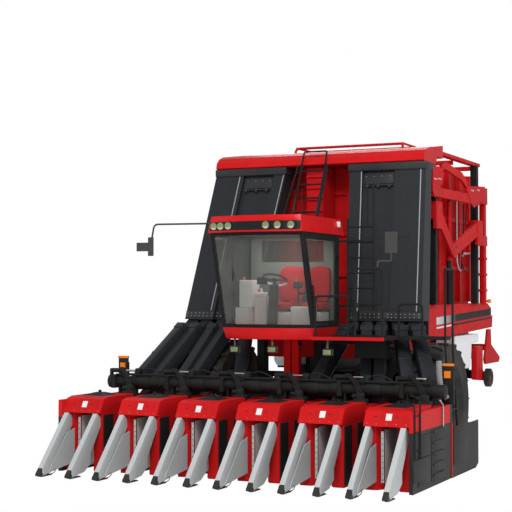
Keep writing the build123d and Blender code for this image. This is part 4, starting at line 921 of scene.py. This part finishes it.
class PICKER_OT_cab_fittings(bpy.types.Operator):
    """Seats, consoles, wiper, aerial and small lamps of the cab"""

    bl_idname = "picker.cab_fittings"
    bl_label = "Cab fittings"

    def execute(self, context):
        fabric = moulding("seat_cloth", (0.50, 0.012, 0.018), 0.85, 0.0, grain=0.4)
        shell = moulding("seat_shell", (0.03, 0.03, 0.032), 0.5, 0.0)
        pale = moulding("console_moulding", (0.66, 0.67, 0.63), 0.5, 0.0)
        black = moulding("cab_rubber", (0.012, 0.012, 0.013), 0.5, 0.02)
        amber = moulding("switch_amber", (0.9, 0.18, 0.02), 0.35, 0.0)
        lining = moulding("lining_cloth", (0.20, 0.225, 0.19), 0.8, 0.0)
        floor = 2.2
        shells, covers, seats = [], [], {}
        for word, x, station, half in (("driver", 0.06, 2.78, 0.23), ("trainer", 0.5, 2.86, 0.19)):
            y = y_at(station)
            parts = [
                pillow((x - half, y - 0.17, floor + 0.255), (x + half, y + 0.26, floor + 0.38)),
                pillow((x - half + 0.01, y + 0.20, floor + 0.385),
                       (x + half - 0.01, y + 0.30, floor + 0.95), lean=0.12),
            ]
            if word == "driver":
                for arm in (x - half + 0.07, x + half - 0.07):
                    parts.append(pillow((arm - 0.045, y - 0.15, floor + 0.34),
                                        (arm + 0.045, y + 0.22, floor + 0.41)))
            seats[word] = tidy(parts, f"{word}_seat", fabric, "chassis", smooth=60)
            shells.append(block((x - half + 0.01, x + half - 0.01),
                                (station - 0.15, station + 0.25), (floor + 0.251, floor + 0.275),
                                0.008))
            covers.append(block((x - 0.17, x + 0.17), (station - 0.16, station + 0.2),
                                (floor + 0.001, floor + 0.235), 0.02, 3))
        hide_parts("cab_seats")
        shells += [block((x - 0.03, x + 0.03), (2.72, 3.02), (2.70, 2.745), 0.012, 3)
                   for x in (-0.20, 0.32)]
        shells += [
            block((0.25, 0.40), (2.62, 2.65), (2.80, 2.90), 0.008),
            drum(at(0.325, 2.66, 2.52), at(0.325, 2.645, 2.81), 0.014, 12, 0),
            block((-0.30, -0.12), (2.47, 2.50), (2.86, 2.97), 0.01),
        ]
        covers += [block(xs, stations, heights, 0.02, 3) for xs, stations, heights in (
            ((-0.62, -0.39), (2.50, 2.78), (2.50, 2.93)),
            ((-0.39, -0.24), (2.60, 2.95), (2.665, 2.74)),
            ((0.30, 0.64), (2.40, 2.66), (2.201, 2.52)),
        )]
        knobs = [drum(at(x, station, z), at(x, station, z + 0.05), 0.013, 12, 0.003)
                 for x, station, z in ((-0.56, 2.56, 2.93), (-0.36, 2.66, 2.74),
                                       (0.30, 2.64, 2.90))]
        linings = [block(xs, (3.145, 3.157), heights, 0.002) for xs, heights in (
            # round the rear window's opening
            ((-0.715, -0.53), (2.30, 3.60)), ((0.55, 0.715), (2.30, 3.60)),
            ((-0.53, 0.55), (2.30, 3.22)), ((-0.53, 0.55), (3.565, 3.60)),
        )]
        wiper_and_aerial = [
            tube([(-0.46, 1.86, 3.60), (-0.44, 1.872, 3.50), (-0.43, 1.935, 2.98)], 0.007, 8, 0.03),
            block((-0.445, -0.430), (1.90, 1.915), (2.90, 3.30)),
            drum(at(0.60, 2.14, 3.892), at(0.60, 2.14, 3.93), 0.024, 16, 0.006),
            tube([(0.60, 2.14, 3.925), (0.60, 2.16, 4.30)], 0.0035, 8),
        ]
        tidy(shells, "cab_controls", shell, "chassis")
        tidy(covers, "cab_consoles", pale, "chassis")
        tidy(knobs, "cab_knobs", amber, "chassis")
        tidy(linings, "rear_lining", lining, "chassis")
        tidy(wiper_and_aerial, "cab_bits", black, "chassis")
        tidy(block((0.715, 0.792), (3.20, 3.26), (3.76, 3.85), 0.01, 3), "clearance_lamp", pale,
             "chassis")
        return {"FINISHED"}


class PICKER_OT_chamber_trim(bpy.types.Operator):
    """Tubes, hoses, slots, bolts and rear guides of the module chamber"""

    bl_idname = "picker.chamber_trim"
    bl_label = "Chamber trim"

    def execute(self, context):
        red = paint("guide_paint", colours().body)
        pale = moulding("slot_pale", (0.42, 0.46, 0.46), 0.4, 0.0)
        steel = bare_metal("tube_steel", (0.45, 0.47, 0.48), 0.25)
        rubber_hose = moulding("hose_rubber", (0.012, 0.012, 0.013), 0.5, 0.05)
        bolts = bare_metal("chamber_bolts", (0.28, 0.28, 0.28), 0.4, 0.2)
        amber = moulding("side_marker", (0.9, 0.25, 0.01), 0.25, 0.0)
        reds, slots, tubes, hoses, heads, marks = [], [], [], [], [], []
        for side in SIDES:

            def plate(x, half, stations, heights, bevel=0.006):
                """A block on this side, with half its thickness."""
                return block((side * x - half, side * x + half), stations, heights, bevel)

            def pipe(points, radius, sides, bend):
                return tube([(side * x, y, z) for x, y, z in points], radius, sides, bend)

            slot_x = side * 1.8698 - 0.0003
            slots += [block((slot_x - 0.0004, slot_x + 0.0004), (station - 0.09, station + 0.09),
                            (z - 0.011, z + 0.011), 0)
                      for station, z in ((4.80, 4.61), (5.03, 4.63), (7.02, 4.575), (7.41, 4.61))]
            post = at(side * 1.742, 5.96, 0)
            reds += [drum((*post[:2], low), (*post[:2], high), radius, 20, 0.006)
                     for low, high, radius in ((3.36, 4.30, 0.038), (3.29, 3.40, 0.052))]
            # rear guides behind the rear post
            reds += [plate(1.745, 0.045, (7.652, 8.32), (4.40, 4.71)),
                     plate(1.745, 0.045, (7.652, 8.30), (3.61, 3.80)),
                     plate(1.72, 0.05, (8.16, 8.30), (2.536, 4.70))]
            reds += [plate(1.72, 0.062, (8.13, 8.32), (z, z + 0.05), 0.005)
                     for z in (2.75, 3.05, 3.35)]
            tubes += [
                pipe([(1.81, 6.2, 4.33), (1.81, 6.2, 3.30), (1.815, 6.27, 3.16),
                      (1.815, 6.42, 3.12)], 0.017, 12, 0.08),
                pipe([(1.815, 6.5, 3.36), (1.815, 6.56, 3.42), (1.81, 6.98, 3.44)],
                     0.018, 12, 0.06),
            ]
            hoses += [
                pipe([(1.815, 6.62, 4.30), (1.815, 6.60, 3.66), (1.815, 6.47, 3.2),
                      (1.815, 6.42, 3.12)], 0.012, 10, 0.12),
                pipe([(1.815, 6.50, 3.36), (1.815, 6.53, 3.17), (1.815, 6.75, 3.10),
                      (1.815, 6.95, 3.22), (1.812, 6.98, 3.44)], 0.012, 10, 0.12),
                pipe([(1.82, 6.86, 4.30), (1.82, 6.75, 4.12), (1.82, 6.72, 3.95)], 0.012, 10, 0.1),
            ]
            heads += [(at(side * 1.8605, station, z), (0, side * RIGHT_ANGLE, 0))
                      for station, z in ((5.80, 3.52), (5.90, 3.47), (6.02, 3.47), (6.12, 3.52),
                                         (5.0, 4.14), (5.0, 3.86), (7.62, 3.98), (7.62, 3.84),
                                         (7.56, 4.44), (7.30, 4.42), (5.02, 4.40), (4.86, 4.40))]
            front, rear, arm = side * 1.79, side * 1.785, side * 1.75
            marks.append(block((front - 0.012, front + 0.0135), (5.40, 5.52), (1.955, 1.995),
                               0.004))
            marks.append(block((rear - 0.035, rear + 0.025), (8.42, 8.49), (2.54, 2.61), 0.008))
            reds.append(block((arm - 0.01, arm + 0.012), (8.28, 8.45), (2.555, 2.59), 0.004))
        tidy(reds, "rear_guides", red, "chamber")
        tidy(slots, "gusset_slots", pale, "chamber")
        tidy(tubes, "chamber_tubes", steel, "chamber")
        tidy(hoses, "chamber_hoses", rubber_hose, "chamber")
        tidy(marks, "side_markers", amber, "chamber")
        tidy(repeated(bolt_head(0.016, 0.01), heads), "brace_bolts", bolts, "chamber")
        return {"FINISHED"}


class PICKER_OT_lower_duct_shells(bpy.types.Operator):
    """Box sections and collars of the ducts between the row units and the banks"""

    bl_idname = "picker.lower_duct_shells"
    bl_label = "Lower duct shells"

    def execute(self, context):
        shell = moulding("duct_shell", colours().ducts, 0.4, 0.04, dust_top=1.6)
        # pale finish for strips of painted highlight on the lower ducts
        pale = moulding("shell_highlight_paint", (0.16, 0.165, 0.17), 0.35, 0.0)
        depth = 0.20
        shells, edges = [], []
        for side in SIDES:
            for foot_x, head_x, width in (
                # foot's x, head's x, width
                (0.5825, 0.92, 0.19), (1.5275, 1.155, 0.17), (1.7275, 1.397, 0.17),
                (2.2225, 1.673, 0.20), (2.5725, 1.934, 0.20),
            ):
                foot = Vector(at(side * foot_x, 2.374, 1.11))
                run = Vector(at(side * head_x, 3.464, 2.33)) - foot

                def along(x_limits, y_limits, shares, bevel):
                    """A block on the duct's own axes, between two shares of its length."""
                    low, high = zip(x_limits, y_limits, [run.length * share for share in shares])
                    o = slab(low, high, bevel)
                    o.rotation_mode = "QUATERNION"
                    o.rotation_quaternion = run.to_track_quat("Z", "Y")
                    o.location = foot
                    return o

                for start, end, more in ((0.14, 0.84, 0.0), (0.80, 0.865, 0.03),
                                         (0.46, 0.485, 0.014)):
                    half, deep = (width + more) / 2, (depth + more * 0.6) / 2
                    shells.append(along((-half, half), (-deep, deep), (start, end), 0.008))
                # a pale strip down one front edge of each duct: painted highlight where its corner
                # catches the light
                edge, face = -side * width / 2, -depth / 2
                edges.append(along((edge - 0.006, edge + 0.006), (face - 0.003, face + 0.004),
                                   (0.3, 0.78), 0.002))
                shells.append(block((side * (head_x - width / 2), side * (head_x + width / 2)),
                                    (3.43, 3.62), (2.14, 2.272), 0.008))
        # dark sheets behind the duct heads under each bank: painted shade that fills the gaps
        # between the ducts
        shade_sheets = [block((side * 0.84, side * 2.06), (3.782, 3.797), (2.06, 2.31)) for side in SIDES]
        tidy(shade_sheets, "bank_shade_sheets", shell, "chassis")
        tidy(shells, "lower_duct_shells", shell, "header")
        tidy(edges, "lower_duct_painted_highlights", pale, "header")
        return {"FINISHED"}


class PICKER_OT_header_side(bpy.types.Operator):
    """Throat plates, steps, tubes and hoses at the row units and the header's ends"""

    bl_idname = "picker.header_side"
    bl_label = "Header side fittings"

    def execute(self, context):
        c = colours()
        plate = moulding("throat_pale", (0.42, 0.45, 0.44), 0.4, 0.0)
        dark = moulding("side_dark", (0.022, 0.0225, 0.022), 0.5, 0.03)
        red = paint("side_red", c.body)
        tube_dark = paint("side_tube", c.running_gear, rough=0.45)
        tube_pale = bare_metal("side_steel", (0.55, 0.57, 0.58), 0.3)
        hose = moulding("intake_hose", (0.30, 0.30, 0.30), 0.6, 0.1, dust_top=1.9)
        plates, steps, reds = [], [], []
        for row in ROW_XS:
            plates += [
                block((row - 0.092, row - 0.055), (0.842, 0.848), (0.17, 0.86), 0.001),
                block((row - 0.0505, row - 0.0475), (0.87, 1.45), (0.15, 0.88), 0.001),
            ]
            for k in range(8):
                z = 0.2 + 0.08 * k
                steps.append(block((row - 0.078, row - 0.066), (0.840, 0.8425), (z, z + 0.016), 0))
        for side in SIDES:

            def on_side(proud, stations, heights, bevel=0.004):
                """A block on the end cover's outer face."""
                return block((side * 2.798, side * (2.8 + proud)), stations, heights, bevel)

            reds.append(on_side(0.012, (2.505, 2.545), (0.05, 0.855), 0.003))
            for k in range(5):
                z = 0.215 + 0.155 * k
                steps.append(on_side(0.020, (1.60, 2.10), (z - 0.03, z - 0.012)))
            steps += [on_side(0.008, (0.96, 1.50), (0.12, 0.80)),
                      on_side(0.008, (1.54, 2.16), (0.12, 0.83)),
                      on_side(0.008, (2.60, 3.42), (0.22, 0.78))]
        steps.append(block((2.80, 2.83), (0.70, 1.44), (0.20, 0.50), 0.008))
        # service ladder at the driver's side of the header
        x = 2.816
        ladder = [
            tube([(x, 0.78, 0.52), (x, 0.78, 1.16), (x - 0.05, 0.86, 1.24), (2.55, 1.05, 1.26)],
                 0.013, 10, 0.06),
            tube([(x, 1.01, 0.50), (x, 1.01, 1.29), (2.60, 1.25, 1.33)], 0.013, 10, 0.06),
        ]
        ladder += [tube([(x, 0.78, z), (x, 1.01, z)], 0.009, 8) for z in (0.62, 0.86, 1.08)]
        pale_tube = tube([(2.817, 1.92, 1.21), (2.817, 2.05, 1.14), (2.817, 2.055, 0.83)],
                         0.012, 10, 0.05)
        # ringed intake hose behind the marker board
        points = [(2.63, 2.47, 1.74), (2.64, 2.46, 1.50), (2.66, 2.45, 1.36), (2.76, 2.43, 1.20)]
        rings = []
        for a, b in zip(points, points[1:]):
            a, b = Vector(at(*a)), Vector(at(*b))
            count = max(2, round((b - a).length / 0.022))
            step = (b - a).normalized() * 0.007
            for k in range(count):
                spot = a.lerp(b, (k + 0.5) / count)
                rings.append(drum(spot - step, spot + step, 0.044, 14, 0.003))
        rings.append(tube(points, 0.036, 12, 0.08))
        tidy(plates, "throat_faces", plate, "header")
        tidy(steps, "side_steps", dark, "header")
        tidy(reds, "side_strips", red, "header")
        tidy(ladder, "service_ladder", tube_dark, "header")
        tidy(pale_tube, "side_tubes", tube_pale, "header")
        tidy(rings, "intake_hose", hose, "header")
        return {"FINISHED"}


class PICKER_OT_top_ladder(bpy.types.Operator):
    """Second rails and the hoop of the ladder, and the step housing behind it"""

    bl_idname = "picker.top_ladder"
    bl_label = "Top ladder"

    def execute(self, context):
        c = colours()
        rail = paint("ladder_paint", c.running_gear, rough=0.4)
        red = paint("housing_paint", c.body)
        foot, head = Vector((-0.40, 3.70, 3.98)), Vector((-0.27, 4.04, 4.86))
        bars = [
            tube([foot, head], 0.015),
            tube([(0.22, 3.70, 3.98), (0.26, 4.05, 4.86)], 0.015),
            tube([(-0.25, 4.13, 4.86), (-0.20, 4.142, 5.085), (0.205, 4.142, 5.085),
                  (0.175, 4.13, 4.86)], 0.015, 10, 0.03),
        ]
        for share in (0.15, 0.5, 0.85):
            left = foot.lerp(head, share)
            bars.append(tube([left, left + Vector((0.10, 0, 0))], 0.011, 8))
        housing = [block((-0.26, 0.05), (4.36, 4.89), (3.95, 4.84), 0.01)]
        for k in range(4):
            z = 4.10 + 0.19 * k
            housing.append(block((-0.25, 0.04), (4.32, 4.37), (z, z + 0.03), 0.006))
        tidy(bars, "ladder_rails", rail, "chamber")
        tidy(housing, "step_housing", red, "chamber")
        return {"FINISHED"}


OPERATORS = (
    PICKER_OT_stage, PICKER_OT_finishes, PICKER_OT_edges, PICKER_OT_spindles, PICKER_OT_hood_trim,
    PICKER_OT_tool_bar, PICKER_OT_lamps, PICKER_OT_wheel_trim, PICKER_OT_duct_trim,
    PICKER_OT_cab_fittings, PICKER_OT_chamber_trim, PICKER_OT_lower_duct_shells,
    PICKER_OT_header_side, PICKER_OT_top_ladder,
)


class PICKER_PT_panel(bpy.types.Panel):
    """Sidebar panel that lists the steps"""

    bl_label = "Cotton picker"
    bl_idname = "PICKER_PT_panel"
    bl_space_type = "VIEW_3D"
    bl_region_type = "UI"
    bl_category = "Picker"

    def draw(self, context):
        for step in OPERATORS:
            self.layout.operator(step.bl_idname)
        for group in (context.scene.picker_sizes, context.scene.picker_paint):
            for name in group.__annotations__:
                self.layout.prop(group, name)


CLASSES = (PickerPaint, PickerSizes, *OPERATORS, PICKER_PT_panel)


def register():
    for item in CLASSES:
        bpy.utils.register_class(item)
    bpy.types.Scene.picker_paint = bpy.props.PointerProperty(type=PickerPaint)
    bpy.types.Scene.picker_sizes = bpy.props.PointerProperty(type=PickerSizes)


def unregister():
    del bpy.types.Scene.picker_paint
    del bpy.types.Scene.picker_sizes
    for item in reversed(CLASSES):
        bpy.utils.unregister_class(item)


def main():
    register()
    for step in OPERATORS:
        getattr(bpy.ops.picker, step.bl_idname.split(".")[1])()


if __name__ == "__main__":
    main()
